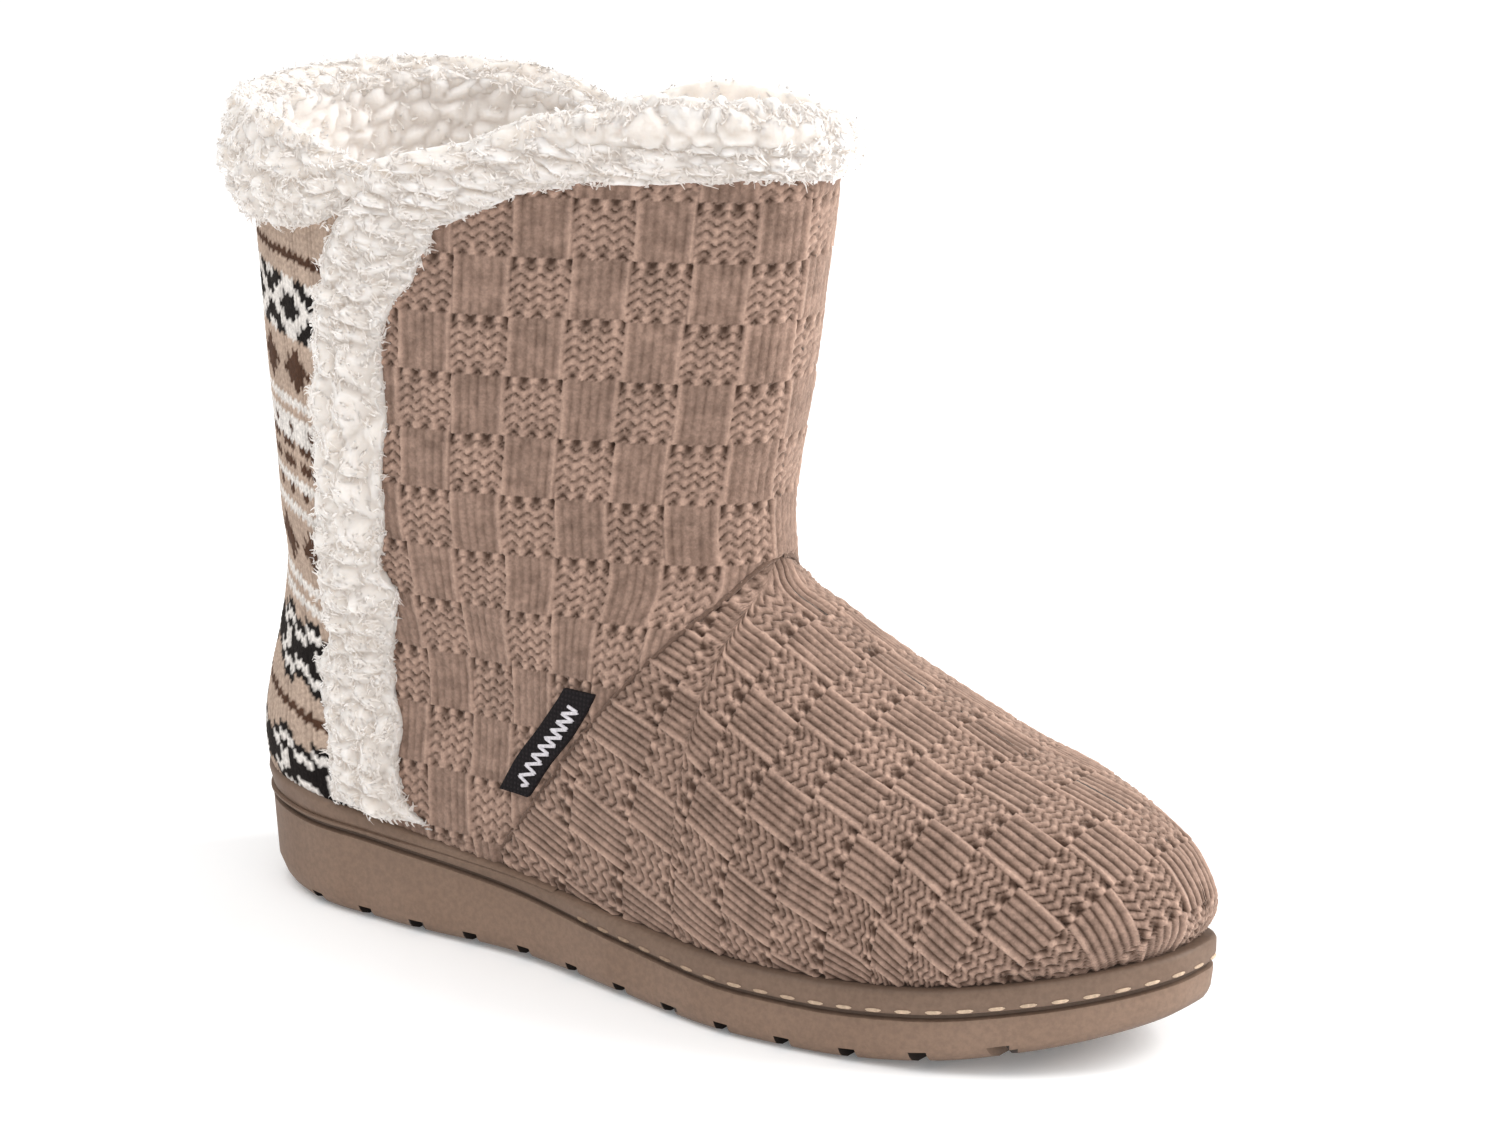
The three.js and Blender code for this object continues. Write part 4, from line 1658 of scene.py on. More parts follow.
@dataclass
class FleeceStrip:
    """Sherpa on the outside of the upper, grown over a bulged strip."""

    name: str
    node: str
    place: Place
    height: float
    run: float
    width: float
    seed: int
    start: float = 0.0
    end: float = 1.0
    gap: float = 2.5
    strands: int = 3
    length: float = 2.7
    thick: float = 0.34
    lock_start: float = -0.18
    cell: float = 0.7
    tuft: float = 8.6
    deep: float = 4.2
    close: float = 4.0
    # Share of brightness the painted shade leaves on this whole strip
    light: float = 1.0
    wavy: float = 1.8
    wave_long: float = 11.0

    # Fine tufts, in shares of the size and of the height
    fine_size: float = 0.42
    fine_share: float = 0.20
    # Width past a border in which the body closes, its rows and the tufts' stretch
    closing: float = 0.2
    closing_rows: int = 12
    closing_stretch: int = 3
    # Rounding: least share of the width, bulge of the pile, tufts left at the borders
    rim: float = 0.03
    bulge: float = 0.5
    least_tuft: float = 0.35
    # Where the body closes: depth under the face, tufts, height steps under the wall's top
    sunk: float = 3.4
    sunk_tuft: float = 2.0
    top_gap: float = 0.02
    # Painted shade, darker low on the upper: its level there, height step where it rises, length of
    # the rise, gain
    low_shade: float = 0.55
    shade_from: float = 0.72
    shade_over: float = 0.2
    shade_gain: float = 1.15
    # Locks, in shares of the gap or of the strip
    lock_rows: float = 1.4
    lock_span: float = 1.26
    lock_stray: float = 0.45
    lock_end: float = 0.002
    lock_reach: float = 0.62
    lock_depth: float = 0.4
    lock_pull: float = 0.6

    def tufts(self, t: Array, u: Array) -> tuple[Array, Array, Array]:
        """Height and lean of the tufts.

        Args:
            t: shares along the strip.
            u: shares across the strip.

        Returns:
            Height, 0 in the creases and 1 on top, and lean along and across in millimetres.
        """
        inside = np.clip(u, 0, 1)
        along, across = t * self.run, (inside + self.closing_stretch * (u - inside)) * self.width
        big, big_t, big_u = TuftField(self.tuft, self.seed)(along, across)
        small = TuftField(self.fine_size * self.tuft, self.seed + 5)
        fine, fine_t, fine_u = small(along, across)
        lump = (1 - self.fine_share) * big + self.fine_share * fine
        return lump, big_t + fine_t, big_u + fine_u

    def surface(self, t: Array, u: Array) -> Array:
        """Body of the pile, closed down to the wall past both borders.

        Args:
            t: shares along the strip.
            u: shares across the strip.

        Returns:
            Points, coordinates last.
        """
        lump, lean_t, lean_u = self.tufts(t, u)
        inside = np.clip(u, 0, 1)
        past = np.clip(np.abs(u - inside) / self.closing, 0, 1)
        bulge = np.sin(math.pi * np.clip(inside, self.rim, 1 - self.rim)) ** 0.5
        full = self.deep * lump * (self.least_tuft + (1 - self.least_tuft) * bulge)
        body = LAST.GAP + self.ends(t) * (self.bulge * self.height * bulge + full)
        lift = body * (1 - past) + (self.sunk_tuft * lump - self.sunk) * past
        across = inside + (lean_u + self.wave(t, inside)) / self.width
        turn, v = self.place(np.clip(t + lean_t / self.run, 0, 1), across)
        down = np.maximum(v - LAST.top(turn) + self.top_gap, 0.0) * past**2
        return LAST.skin(turn, v - down, lift)

    def wave(self, t: Array, inside: Array) -> Array:
        """Stray of the borders, drawn in on the side of the knit.

        Args:
            t: shares along the strip.
            inside: shares across the strip.

        Returns:
            Millimetres across.
        """
        border = 2 * inside - 1
        # Each border has a line of its own in the noise
        line = 20 + 9 * np.sign(border)
        stray = 2 * value_noise(t * self.run / self.wave_long + 50, line, self.seed) - 1
        return self.wavy * (stray - 0.5 * (border > 0)) * np.abs(border) ** 3

    def ends(self, t: Array) -> Array:
        """Share of the full height and of the painted shade's brightness, rising from 0 at both ends
        of the strip.
        """
        return np.sin(0.5 * math.pi * np.clip(np.minimum(t, 1 - t) * self.run / self.close, 0, 1))

    def build(self, material: Material) -> None:
        """Makes the body and its locks as one mesh.

        Args:
            material: finish of the fleece.
        """
        body, locks = self.body(), self.locks()
        obj = build_mesh(self.name, *join_parts([body, locks]), smooth_faces=len(body[1]))
        place_piece(obj, self.node, material)

    def body(self) -> Shaded:
        """Tufted body of the pile, with painted shade.

        Returns:
            Points, quads and painted shade.
        """
        close = np.linspace(self.closing / self.closing_rows, self.closing, self.closing_rows)
        inside = np.linspace(0, 1, int(self.width / self.cell))
        u_line = np.concatenate([-close[::-1], inside, 1 + close])
        rows, cols = int(self.span() / self.cell), len(u_line)
        t, u = np.meshgrid(np.linspace(self.start, self.end, rows), u_line, indexing="ij")
        # Painted shade: darker in the creases between tufts, low on the upper, on a darker strip and
        # toward the ends
        up = smooth((self.place(t, np.clip(u, 0, 1))[1] - self.shade_from) / self.shade_over)
        low = self.low_shade + (1 - self.low_shade) * up
        shade = np.clip(self.shade_gain * self.tufts(t, u)[0], 0, 1)
        shade = shade * low * self.light * self.ends(t)
        return self.surface(t, u).reshape(-1, 3), grid_quads(rows, cols), shade.ravel()

    def span(self) -> float:
        """Length of the built part in millimetres."""
        return self.run * (self.end - self.start)

    def locks(self) -> Shaded:
        """Strands grown on the body.

        Returns:
            Points, quads and shade.
        """
        rng = np.random.default_rng(self.seed)
        n_t = int(self.span() / self.gap)
        n_u = int(round(self.width * self.lock_rows / self.gap))
        ti, ui = np.meshgrid(np.arange(n_t), np.arange(n_u), indexing="ij")
        t = ti + 0.5 + rng.uniform(-self.lock_stray, self.lock_stray, ti.shape)
        t = self.start + (self.end - self.start) * t / n_t
        t = np.clip(t, self.lock_end, 1 - self.lock_end).ravel()
        u = ui + 0.5 + rng.uniform(-self.lock_stray, self.lock_stray, ui.shape)
        u = u.ravel() / n_u * self.lock_span + self.lock_start
        h = 1e-3
        along = self.surface(np.minimum(t + h, 1), u) - self.surface(np.maximum(t - h, 0), u)
        across = self.surface(t, u + 20 * h) - self.surface(t, u - 20 * h)
        out = np.cross(along, across)
        turn, v = self.place(t, np.clip(u, 0, 1))
        _, lean_t, lean_u = self.tufts(t, u)
        flow = unit(along) * lean_t[:, None] + unit(across) * lean_u[:, None]
        away = LAST.normal(turn, v)
        out *= np.sign(np.mean(np.sum(out * away, axis=1)))
        out = out / (np.linalg.norm(out, axis=1, keepdims=True) + 1e-9)
        root = self.surface(t, u) - out * self.lock_depth
        pile = Pile(self.seed, self.strands, self.lock_reach * self.gap, self.length, self.thick)
        return pile.grow(root, out + self.lock_pull * away, flow)


@dataclass
class Trims:
    """Front trim and back cuff in sherpa, and the pile inside the collar."""

    fleece: Material

    # Degrees from the back, height step of the lower and of the upper border
    CUFF = (
        (0, 0.860, 1.010), (40, 0.862, 1.010), (58, 0.868, 1.002), (68, 0.885, 0.985),
        (76, 0.925, 0.968), (80, 0.935, 0.957),
    )
    cuff_reach: float = 80.0
    # Degrees around the collar, fullness of the roll in millimetres
    FULL = (
        (0, 0.0), (88, 0.0), (106, 6.5), (130, 11.0), (155, 10.0), (180, 7.0), (205, 4.0),
        (230, 1.5), (260, 0.0), (360, 0.0),
    )
    strip_pile: float = 5.5
    cuff_pile: float = 9.5

    # Strip's and cuff's run, width and seed
    strip_size: tuple[int, int, int] = (590, 21, 7)
    cuff_size: tuple[int, int, int] = (165, 34, 8)
    # Where the cuff's form differs from the strip's; its light share paints the cuff in shade
    CUFF_FORM = {"tuft": 9.4, "deep": 5.0, "close": 15.0, "light": 0.6, "wavy": 0.0}
    # Roll over the edge: lift, radius, share of the fullness that rises and that widens
    roll_lift: float = -1.4
    roll_radius: float = 2.6
    roll_rise: float = 0.55
    roll_widen: float = 0.4
    roll_top_gap: float = 0.004
    # Degrees where the rounder back of the roll ends; its lift, drop and wider radius
    back: tuple[int, int] = (70, 95)
    back_lift: float = 2.0
    back_drop: float = 1.6
    back_widen: float = 2.0
    # Tufts of the roll: size, seed and share
    ROLL_TUFTS = ((7.4, 31, 0.8), (3.2, 36, 0.2))
    roll_form: Pair = (0.86, 0.38)
    # Painted shade of the roll, dark in the creases between its tufts and kept below its lit top
    roll_shade: float = 0.45
    roll_clumps: int = 1000
    roll_seed: int = 31
    roll_crowd: float = 1.5
    roll_lean: Pair = (0.1, 0.9)
    roll_sways: int = 41
    roll_rows: int = 800
    roll_cols: int = 34
    roll_root: float = 0.85
    roll_pile: Pile = Pile(32, 3, 2.3, 2.5, 0.34)
    # Clumps around and down the inside, their stray, first and last depth in height steps
    inside_clumps: tuple[int, int] = (74, 7)
    inside_stray: float = 0.35
    inside_seed: int = 33
    inside_top: float = 0.012
    inside_depth: float = 0.22
    inside_lift: float = -3.4
    inside_rise: float = 0.25
    inside_pile: Pile = Pile(34, 3, 2.9, 2.5, 0.38)

    def __post_init__(self) -> None:
        """Makes the curve of the cuff."""
        self.cuff = Curve(self.CUFF)

    def front_place(self, t: Array, u: Array) -> ArrayPair:
        """Place on the front trim.

        Args:
            t: shares along the strip.
            u: shares across the strip.

        Returns:
            Angle around the upper and height step.
        """
        ends = LAST.strip(1 - np.abs(2 * t - 1))
        rear_turn, rear_v, fore_turn, fore_v = np.moveaxis(ends, -1, 0)
        degrees = rear_turn + (fore_turn - rear_turn) * u
        turn = np.radians(np.where(t <= 0.5, degrees, 360 - degrees))
        return turn, rear_v + (fore_v - rear_v) * u

    def cuff_place(self, t: Array, u: Array) -> ArrayPair:
        """Place on the back cuff.

        Args:
            t: shares along the cuff.
            u: shares up the cuff.

        Returns:
            Angle around the upper and height step.
        """
        degrees = self.cuff_reach * (2 * t - 1)
        low, high = np.moveaxis(self.cuff(np.abs(degrees)), -1, 0)
        return np.radians(degrees), low + (high - low) * u

    def build(self) -> None:
        """Makes and dresses all fleece pieces."""
        strip = ("front_trim", self.front_place, self.strip_pile, *self.strip_size)
        cuff = ("back_cuff", self.cuff_place, self.cuff_pile, *self.cuff_size)
        FleeceStrip("front_trim_fleece_outer", *strip, end=0.5).build(self.fleece)
        inner = FleeceStrip("front_trim_fleece_inner", *strip, start=0.5, gap=3.8, cell=1.0)
        inner.build(self.fleece)
        FleeceStrip("back_cuff_fleece", *cuff, lock_start=-0.08, **self.CUFF_FORM).build(self.fleece)
        place_piece(self.collar_edge(), "upper", self.fleece)
        place_piece(self.collar_inside(), "upper", self.fleece)

    def collar_edge(self) -> Object:
        """Tufted roll over the wall's top edge, fullest over the front of the outer side.

        Returns:
            The piece.
        """
        rows, cols = self.roll_rows, self.roll_cols
        turn = np.linspace(0, math.tau, rows)
        path, radius = self.roll(turn)
        around = np.linspace(0, math.tau, cols, endpoint=False)
        along, across = np.broadcast_arrays(run_length(path)[:, None], radius[:, None] * around)
        lump = sum(
            share * TuftField(size, seed)(along, across)[0] for size, seed, share in self.ROLL_TUFTS
        )
        away = LAST.normal(turn, LAST.top(turn))[:, None] * np.cos(around)[None, :, None]
        up = UP * np.sin(around)[None, :, None]
        least, more = self.roll_form
        points = path[:, None] + (away + up) * (radius[:, None] * (least + more * lump))[..., None]
        quads = grid_quads(rows, cols, True)[:, ::-1]
        # Painted shade of the roll, dark in the creases between its tufts
        body = (points.reshape(-1, 3), quads, (self.roll_shade * lump).ravel())
        parts = [body, self.edge_strands(turn, radius)]
        return build_mesh("collar_edge_fleece", *join_parts(parts), smooth_faces=len(quads))

    def edge_strands(self, turn: Array, radius: Array) -> Shaded:
        """Strands on the roll, more of them where it is thicker.

        Args:
            turn: angles around the collar.
            radius: the roll's radius there.

        Returns:
            Points, quads and shade.
        """
        n, rng = self.roll_clumps, np.random.default_rng(self.roll_seed)
        full = np.concatenate([[0], np.cumsum(radius[1:] ** self.roll_crowd)])
        place = np.arange(n) + rng.uniform(*self.roll_lean, n)
        turn = np.interp(place * full[-1] / n, full, turn)
        path, radius = self.roll(turn)
        lean = rng.uniform(*self.roll_lean, n)[:, None] * math.pi
        away = LAST.normal(turn, LAST.top(turn))
        out = away * np.cos(lean) + UP * np.sin(lean)
        flow = np.cos(turn * self.roll_sways)[:, None] * np.gradient(path, axis=0) - 0.5 * away
        return self.roll_pile.grow(path + out * self.roll_root * radius[:, None], out, flow)

    def roll(self, turn: Array) -> ArrayPair:
        """Form of the roll over the wall's top edge.

        Args:
            turn: angles around the collar.

        Returns:
            Points of its middle line and its radius.
        """
        degrees = np.degrees(turn)
        full = np.interp(degrees % 360, *np.transpose(self.FULL))
        back = np.interp(np.abs((degrees + 180) % 360 - 180), self.back, (1, 0))
        edge = LAST.top(turn) - self.roll_top_gap
        path = LAST.skin(turn, edge, self.roll_lift + self.back_lift * back)
        path[:, 2] += self.roll_rise * full - self.back_drop * back
        return path, self.roll_radius + self.roll_widen * full + self.back_widen * back

    def collar_inside(self) -> Object:
        """Clumps down the inside of the collar.

        Returns:
            The piece.
        """
        rng, stray = np.random.default_rng(self.inside_seed), self.inside_stray
        n_t, n_v = self.inside_clumps
        ti, vi = np.meshgrid(np.arange(n_t), np.arange(n_v), indexing="ij")
        turn = ti + 0.5 * (vi % 2) + rng.uniform(-stray, stray, ti.shape)
        turn = (turn * math.tau / n_t).ravel()
        down = ((vi + rng.uniform(-stray, stray, vi.shape)) / n_v).ravel()
        v = LAST.top(turn) - self.inside_top - self.inside_depth * down
        root = LAST.skin(turn, v, self.inside_lift)
        out = self.inside_rise * UP - LAST.normal(turn, v)
        flow = rng.normal(0, 1, (len(turn), 3))
        strands = self.inside_pile.grow(root, out, flow)
        return build_mesh("collar_inner_fleece", *join_parts([strands]), smooth_faces=0)


@dataclass
class Outsole:
    """Moulded unit sole with rand, groove, flex slots and moulded stitches."""

    rubber: Material
    thread: Material
    around: int = 300
    ledge: float = 8.0
    recess: float = 4.0
    bed_slope: float = 0.4
    slot_start: float = 25.0
    slot_pitch: float = 17.7
    slot_count: int = 13
    slot_wide: float = 4.2
    slot_deep: float = 3.4
    slot_reach: float = 80.0
    slot_margin: float = 0.3
    slot_roof: float = 0.2
    sharp_angle: float = 38.0
    stitch_turn: float = 1.45
    stitch_out: float = 0.45
    stitch_down: float = 5.3
    stitch_pitch: float = 7.6
    stitch_long: float = 4.1
    stitch_thick: float = 0.5
    stitch_points: int = 7
    stitch_sides: int = 6
    stitch_start: float = 2.0
    stitch_end: float = 0.05
    groove_down: float = 6.0
    rand_turn: float = 80.0
    rand_top: float = 0.25
    rand_rows: int = 160
    rand_cols: int = 181

    # Loops of the side: millimetres above the tread, inset, further inset at the heel
    LOW = ((0.0, 4.4, 3.6), (1.0, 1.9, 3.2), (2.0, 1.1, 2.8), (3.4, 0.5, 2.4), (7.6, 0.0, 1.2))
    # Loops of groove and rand: millimetres under the rim, inset
    GROOVE = ((8.0, 0.1), (7.4, 1.3), (6.6, 1.3), (6.0, -0.2))
    RIM = ((4.6, -0.6), (1.4, -0.6), (0.5, -0.1), (0.0, 0.7))
    # Darkness over the millimetres under the rim, painted shade under the upper's edge and in the
    # groove with a darker rand, and over those above the tread, painted shade at the tread's edge
    RIM_LIGHT = ((0.0, 0.5), (0.5, 0.62), (1.4, 0.72), (5.0, 0.78), (6.0, 0.7))
    GROOVE_LIGHT = ((6.6, 0.36), (7.4, 0.36), (8.0, 0.9), (9.5, 1.0))
    TREAD_LIGHT = ((0.0, 0.6), (1.0, 0.75), (3.0, 1.0))
    # Climb of groove and rand, and height of the standing rand, over x
    CLIMB = ((-10.0, 5.0), (40.0, 4.8), (70.0, 3.8), (120.0, 1.8), (165.0, 0.0), (300.0, 0.0))
    LIP = ((-10.0, 6.2), (25.0, 6.0), (50.0, 4.0), (75.0, 1.2), (95.0, 0.3))
    # Lines of the standing rand: share of its height, lift off the upper, and painted shade, dark at
    # its foot and under the upper
    RAND = (
        (0.0, 1.2, 0.3), (0.02, 2.5, 0.6), (0.3, 2.3, 0.8), (0.8, 1.7, 0.8),
        (0.97, 1.1, 0.7), (1.0, -0.6, 0.4),
    )
    # Painted light on the stitches, brighter toward the toe where light catches them: level at the
    # waist, more at the toe, x where it starts to rise, rise, stray
    STITCH_LIGHT = (0.15, 0.75, 95.0, 160.0, 0.2)
    SLOT_CORNERS = ((-1, -1), (1, -1), (1, 1), (-1, 1))
    SLOT_ENDS = ((0, 1, 2, 3), (7, 6, 5, 4))
    SLOT_SIDES = ((0, 4, 5, 1), (1, 5, 6, 2), (2, 6, 7, 3), (3, 7, 4, 0))

    def build(self) -> None:
        """Makes and dresses the sole, its standing rand and its stitches."""
        place_piece(self.moulding(), "outsole", self.rubber)
        place_piece(self.heel_rand(), "outsole", self.rubber)
        place_piece(self.stitches(), "outsole", self.thread)

    def moulding(self) -> Object:
        """Body of the sole with its slots.

        Returns:
            The piece.
        """
        loops, n = self.loops(), self.around
        faces = [tuple(f) for f in grid_quads(len(loops), n, True)]
        faces += self.cap(0, n, True) + self.cap((len(loops) - 1) * n, n, False)
        mesh = bpy.data.meshes.new("outsole_moulding")
        mesh.from_pydata(row_place(np.concatenate(loops)).tolist(), [], faces)
        mesh.update()
        obj = link("outsole_moulding", mesh)
        self.cut(obj)
        self.shade(obj.data)
        obj.data.polygons.foreach_set("use_smooth", np.ones(len(obj.data.polygons), dtype=bool))
        obj.data.set_sharp_from_angle(angle=math.radians(self.sharp_angle))
        return obj

    def loops(self) -> list[Array]:
        """Loops from the tread's edge up the side and into the bed.

        Returns:
            Points of each loop.
        """
        turn = np.linspace(0, math.tau, self.around, endpoint=False)
        out = []
        for up, inset, heel in self.LOW:
            p = LAST.inset_point(turn, inset, heel)
            out.append(np.column_stack([p, LAST.underside(p[:, 0]) + up]))
        bed = ((0.0, self.ledge), (self.recess, self.ledge + self.bed_slope))
        for down, inset in (*self.GROOVE, *self.RIM, *bed):
            p = LAST.inset_point(turn, inset)
            depth = self.lowered(p[:, 0], down) if inset < self.ledge else down
            out.append(np.column_stack([p, LAST.rim(p[:, 0]) - depth]))
        return out

    def climb(self, x: Array) -> Array:
        """Climb of groove and rand toward the heel."""
        return np.interp(x, *np.transpose(self.CLIMB))

    def lowered(self, x: Array, down: float) -> Array:
        """Depth under the rim of a line that climbs toward the heel."""
        return down - self.climb(x) * min(down / self.groove_down, 1.0)

    def heel_rand(self) -> Object:
        """Part of the rand that stands up around the heel of the upper.

        Returns:
            The piece.
        """
        turn = np.radians(np.linspace(-self.rand_turn, self.rand_turn, self.rand_cols))
        steps = np.linspace(0, self.rand_top, self.rand_rows)
        face = LAST.face(turn[:, None], steps[None, :])
        tall = np.interp(face[:, 0, 0], *np.transpose(self.LIP))
        loops, shades = [], []
        for share, lift, shade in self.RAND:
            level = face[:, 0, 2] + share * tall
            v = np.array([np.interp(z, column, steps) for z, column in zip(level, face[..., 2])])
            loops.append(LAST.skin(turn, v, lift))
            shades.append(np.full(len(turn), shade))
        quads = grid_quads(len(loops), len(turn))
        fields = {"shade": np.concatenate(shades)}
        return build_mesh("heel_rand", np.concatenate(loops), quads, fields)

    def shade(self, mesh: bpy.types.Mesh) -> None:
        """Paints darkness on all corners: painted shade under the upper's edge, in the groove, at the
        tread's edge and in the slots, and a darker rand.

        Args:
            mesh: the moulding.
        """
        x, _, z = read_places(mesh.vertices, "co").T
        down, up = LAST.rim(x) - z + self.climb(x), z - LAST.underside(x)
        value = np.interp(down, *np.transpose(self.RIM_LIGHT + self.GROOVE_LIGHT))
        value = value * np.interp(up, *np.transpose(self.TREAD_LIGHT))
        corner = np.empty(len(mesh.loops), dtype=np.int32)
        mesh.loops.foreach_get("vertex_index", corner)
        size = np.empty(len(mesh.polygons), dtype=np.int32)
        mesh.polygons.foreach_get("loop_total", size)
        # Faces inside the flex slots get full painted shadow
        hollow = self.in_slot(read_places(mesh.polygons, "center"))
        painted_shade = np.where(np.repeat(hollow, size), 0.0, value[corner])
        layer = mesh.attributes.new("shade", "FLOAT", "CORNER")
        layer.data.foreach_set("value", painted_shade.astype(np.float32))

    def in_slot(self, points: Array) -> Array:
        """Which points lie on the faces inside the flex slots.

        Args:
            points: points, one a row.

        Returns:
            True for these points.
        """
        x, up = points[:, 0], points[:, 2] - LAST.underside(points[:, 0])
        slots = self.slot_start + self.slot_pitch * np.arange(self.slot_count)
        near = np.abs(x[:, None] - slots).min(1) < self.slot_wide / 2 + self.slot_margin
        return near & (up < self.slot_deep + self.slot_roof) & (up > self.slot_margin)

    @staticmethod
    def cap(start: int, n: int, flip: bool) -> list[tuple[int, ...]]:
        """Strips across a loop whose points k and n - k face each other.

        Args:
            start: number of the loop's first point.
            n: points in the loop.
            flip: turns the faces over.

        Returns:
            Point numbers of each face.
        """
        out = []
        for k in range(n // 2):
            ring = [start + k, start + k + 1, start + (n - k - 1) % n, start + (n - k) % n]
            ring = list(dict.fromkeys(ring))
            if len(ring) > 2:
                out.append(tuple(ring[::-1] if flip else ring))
        return out

    def slot_box(self, x: float) -> list[tuple[float, float, float]]:
        """Corners of the box that cuts one slot, square to the tread.

        Args:
            x: the slot's place along the foot.

        Returns:
            Eight points.
        """
        step = 2.0
        back, z, fore = LAST.underside(np.array([x - step, x, x + step]))
        a = math.atan((fore - back) / (2 * step))
        points = []
        for y in (-self.slot_reach, self.slot_reach):
            for sx, sz in self.SLOT_CORNERS:
                dx, dz = sx * self.slot_wide / 2, sz * self.slot_deep
                px = x + dx * math.cos(a) - dz * math.sin(a)
                pz = z + dx * math.sin(a) + dz * math.cos(a)
                points.append((px, y, pz))
        return points

    def cut(self, obj: Object) -> None:
        """Cuts the flex slots.

        Args:
            obj: the moulding.
        """
        points, faces = [], []
        for i in range(self.slot_count):
            base = len(points)
            points += self.slot_box(self.slot_start + self.slot_pitch * i)
            faces += [tuple(base + k for k in quad) for quad in self.SLOT_ENDS + self.SLOT_SIDES]
        mesh = bpy.data.meshes.new("slots")
        mesh.from_pydata(row_place(points).tolist(), [], faces)
        cutter = link("slots", mesh)
        mod = obj.modifiers.new("slots", "BOOLEAN")
        mod.operation = "DIFFERENCE"
        mod.solver = "EXACT"
        mod.object = cutter
        bpy.context.view_layer.update()
        solved = obj.evaluated_get(bpy.context.evaluated_depsgraph_get())
        made = bpy.data.meshes.new_from_object(solved)
        obj.modifiers.clear()
        obj.data = made
        bpy.data.objects.remove(cutter)

    def stitches(self) -> Object:
        """Row of moulded stitches along the rand from the waist round the toe.

        Returns:
            The piece.
        """
        fine = np.linspace(self.stitch_turn, math.tau - self.stitch_turn, LINE_SAMPLES)
        line = LAST.inset_point(fine, -self.stitch_out)
        run = run_length(line)
        round_off = 1 - np.linspace(-1, 1, self.stitch_points) ** 4
        radius = self.stitch_thick * np.sqrt(np.clip(round_off, self.stitch_end, 1))
        low, more, rise_from, rise_over, stray = self.STITCH_LIGHT
        parts = []
        for at in np.arange(self.stitch_start, run[-1] - self.stitch_long, self.stitch_pitch):
            d = np.linspace(at, at + self.stitch_long, len(radius))
            x, y = np.interp(d, run, line[:, 0]), np.interp(d, run, line[:, 1])
            path = np.column_stack([x, y, LAST.rim(x) - self.lowered(x, self.stitch_down)])
            points, faces = tube(path, radius, self.stitch_sides)
            # Painted highlight on the stitch, growing toward the toe
            wear_and_light = low + more * smooth((x.mean() - rise_from) / rise_over)
            wear_and_light = wear_and_light + stray * (lattice(np.array(at), np.array(1.0), 3) - 0.5)
            parts.append((points, faces, np.full(len(points), wear_and_light)))
        return build_mesh("rand_stitches", *join_parts(parts))


@dataclass
class Label:
    """Bare woven tab in the side seam, with a plain zigzag woven in."""

    tape: Material
    thread: Material
    thick: float = 1.2
    lift: float = 0.55
    rows: int = 40
    cols: int = 12
    zigzag_span: Pair = (0.07, 0.84)
    zigzag_turns: float = 22.5
    zigzag_middle: float = 0.60
    zigzag_half: float = 0.22
    zigzag_radius: float = 0.5
    zigzag_points: int = 271
    zigzag_sides: int = 6

    # Height step, and degrees around the upper of both borders
    BORDERS = (
        (0.124, 74.0, 78.2), (0.182, 79.5, 84.5), (0.246, 88.7, 94.3), (0.314, 98.5, 104.0),
    )

    def build(self) -> None:
        """Makes and dresses the tab and its woven line."""
        place_piece(self.tab(), "label_tab", self.tape)
        place_piece(self.zigzag(), "label_tab", self.thread)

    def at(self, share: Array, across: Array, lift: float) -> Array:
        """Places on the tab.

        Args:
            share: shares up the tab.
            across: shares across it.
            lift: millimetres off the upper's face.

        Returns:
            Points, coordinates last.
        """
        low, high = self.BORDERS[0][0], self.BORDERS[-1][0]
        v = low + (high - low) * share
        rear, fore = np.moveaxis(Curve(self.BORDERS)(v), -1, 0)
        turn = np.radians(rear + (fore - rear) * across)
        v = np.broadcast_to(v, turn.shape)
        return LAST.skin(turn, v, lift)

    def tab(self) -> Object:
        """Flat tape with closed ends.

        Returns:
            The piece.
        """
        rows, cols = self.rows, self.cols
        share, across = np.linspace(0, 1, rows)[:, None], np.linspace(0, 1, cols)[None, :]
        top = self.at(share, across, self.lift + self.thick)
        base = self.at(share, across, self.lift)
        points = np.concatenate([top, base[:, ::-1]], 1).reshape(-1, 3)
        quads = [grid_quads(rows, 2 * cols, True)]
        k = np.arange(cols - 1)
        far = 2 * cols - 1 - k
        end = np.stack([k, k + 1, far - 1, far], -1)
        quads += [end, end[:, ::-1] + (rows - 1) * 2 * cols]
        return build_mesh("woven_tab", points, np.concatenate(quads)[:, ::-1])

    def zigzag(self) -> Object:
        """Line woven into the tape.

        Returns:
            The piece.
        """
        share = np.linspace(*self.zigzag_span, self.zigzag_points)
        swing = np.abs((share * self.zigzag_turns) % 2 - 1) * 2 - 1
        across = self.zigzag_middle + self.zigzag_half * swing
        path = self.at(share, across, self.lift + self.thick)
        points, faces = tube(path, np.full(len(path), self.zigzag_radius), self.zigzag_sides)
        return build_mesh("woven_tab_zigzag", points, faces)


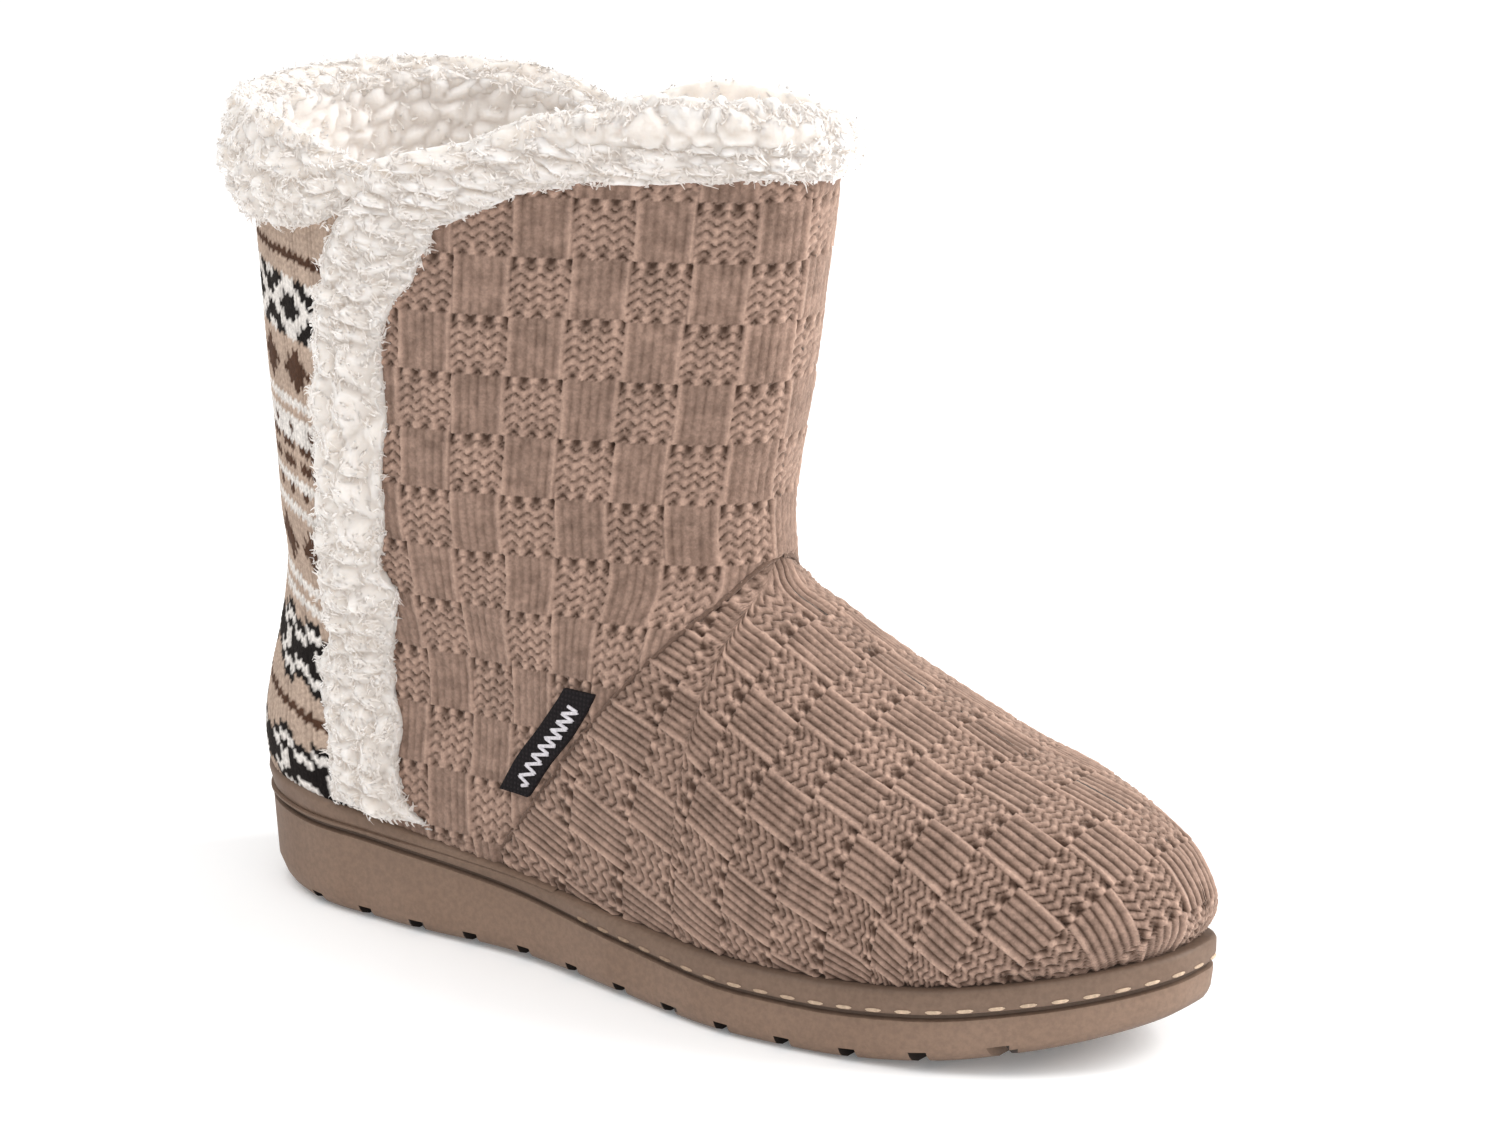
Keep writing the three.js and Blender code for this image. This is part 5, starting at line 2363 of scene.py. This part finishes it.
@dataclass
class Studio:
    """White floor, soft lights and the photo's camera."""

    azimuth: float = 36.0
    elevation: float = 16.5
    distance: float = 1.2
    target: tuple[float, float, float] = (130.0, 0.0, 95.0)
    pixels_per_mm: float = 3.95
    centre: Pair = (716.0, 596.0)
    picture: Pair = (1500.0, 1125.0)
    sensor: float = 36.0
    farthest: float = 50.0
    floor_half: float = 8.0
    floor_finish: PlainFinish = PlainFinish("pale_floor", (0.95, 0.95, 0.95, 1.0), 0.9, 0.12)
    world_strength: float = 0.62

    # Name, place, size and power
    LIGHTS = (
        ("key", (-0.5, -0.9, 2.2), 1.6, 24.0),
        ("fill", (1.7, -0.9, 1.1), 1.5, 9.0),
        ("rear", (1.35, 1.0, 1.2), 1.2, 42.0),
    )

    def build(self) -> None:
        """Makes floor, lights, world and camera."""
        self.floor()
        for name, place, size, power in self.LIGHTS:
            self.light(name, place, size, power)
        self.world()
        self.camera()

    def world(self) -> None:
        """White surroundings, shown as they are."""
        world = bpy.data.worlds.new("white")
        bpy.context.scene.world = world
        world.use_nodes = True
        back = world.node_tree.nodes["Background"]
        back.inputs["Color"].default_value = WHITE
        back.inputs["Strength"].default_value = self.world_strength
        view = bpy.context.scene.view_settings
        view.view_transform = "Standard"
        view.look = "None"
        view.exposure = 0.0

    def aim(self) -> Vector:
        """Point the camera looks at, in metres."""
        return Vector(row_place(self.target)[0])

    def floor(self) -> None:
        """Large pale floor."""
        mesh = bpy.data.meshes.new("studio_floor")
        r = self.floor_half
        mesh.from_pydata([(-r, -r, 0), (r, -r, 0), (r, r, 0), (-r, r, 0)], [], [(0, 1, 2, 3)])
        mesh.materials.append(self.floor_finish.make())
        obj = link("studio_floor", mesh)

    def light(self, name: str, place: Sequence[float], size: float, power: float) -> None:
        """Square lamp aimed at the shoe.

        Args:
            name: object name.
            place: place in metres.
            size: side length in metres.
            power: watts.
        """
        lamp = bpy.data.lights.new(name, "AREA")
        lamp.shape = "SQUARE"
        lamp.size = size
        lamp.energy = power
        obj = link(name, lamp)
        obj.location = place
        obj.rotation_euler = (self.aim() - Vector(place)).to_track_quat("-Z", "Y").to_euler()

    def camera(self) -> None:
        """Camera at the photo's angle."""
        lens = bpy.data.cameras.new("photo_camera")
        obj = link("photo_camera", lens)
        a, e = math.radians(self.azimuth), math.radians(self.elevation)
        back = Vector((math.sin(a) * math.cos(e), -math.cos(a) * math.cos(e), math.sin(e)))
        obj.location = self.aim() + back * self.distance
        obj.rotation_euler = (-back).to_track_quat("-Z", "Y").to_euler()
        lens.sensor_width = self.sensor
        wide, tall = self.picture
        lens.lens = self.distance / MM * self.pixels_per_mm / wide * lens.sensor_width
        lens.shift_x = (wide / 2 - self.centre[0]) / wide
        lens.shift_y = (self.centre[1] - tall / 2) / wide
        lens.clip_end = self.farthest
        bpy.context.scene.camera = obj


def main() -> None:
    """Builds the studio and dresses every piece."""
    logging.basicConfig(level=logging.INFO, format="%(message)s")
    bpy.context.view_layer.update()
    fibre = YarnFibre().make()
    knit = KnitFinish("taupe_knit", fibre).make()
    pattern = KnitFinish("pattern_knit", fibre, from_chart=True, sheen=0.05).make()
    fleece = FleeceFinish().make()
    rubber = RubberFinish().make()
    # Lit colour and painted shade colour of the moulded stitches, mixed by their painted light
    crest, gap = rgb(206, 182, 158), rgb(122, 98, 81)
    thread = KnitFinish("rand_thread", fibre, crest, gap, sheen=0.0).make()
    tape = ThreadFinish("woven_tape", fibre, rgb(27, 22, 24), weave=260.0).make()
    pale = ThreadFinish("woven_line", fibre, rgb(206, 202, 206)).make()
    wool = rgb(222, 208, 190)
    felt = ThreadFinish("footbed_felt", fibre, wool, fibre_scale=500.0, rough=0.95).make()
    Studio().build()
    Outsole(rubber, thread).build()
    Upper(knit, pattern, fleece).build()
    Trims(fleece).build()
    Label(tape, pale).build()
    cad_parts["insole"].material_slots[0].material = felt


if __name__ == "__main__":
    main()
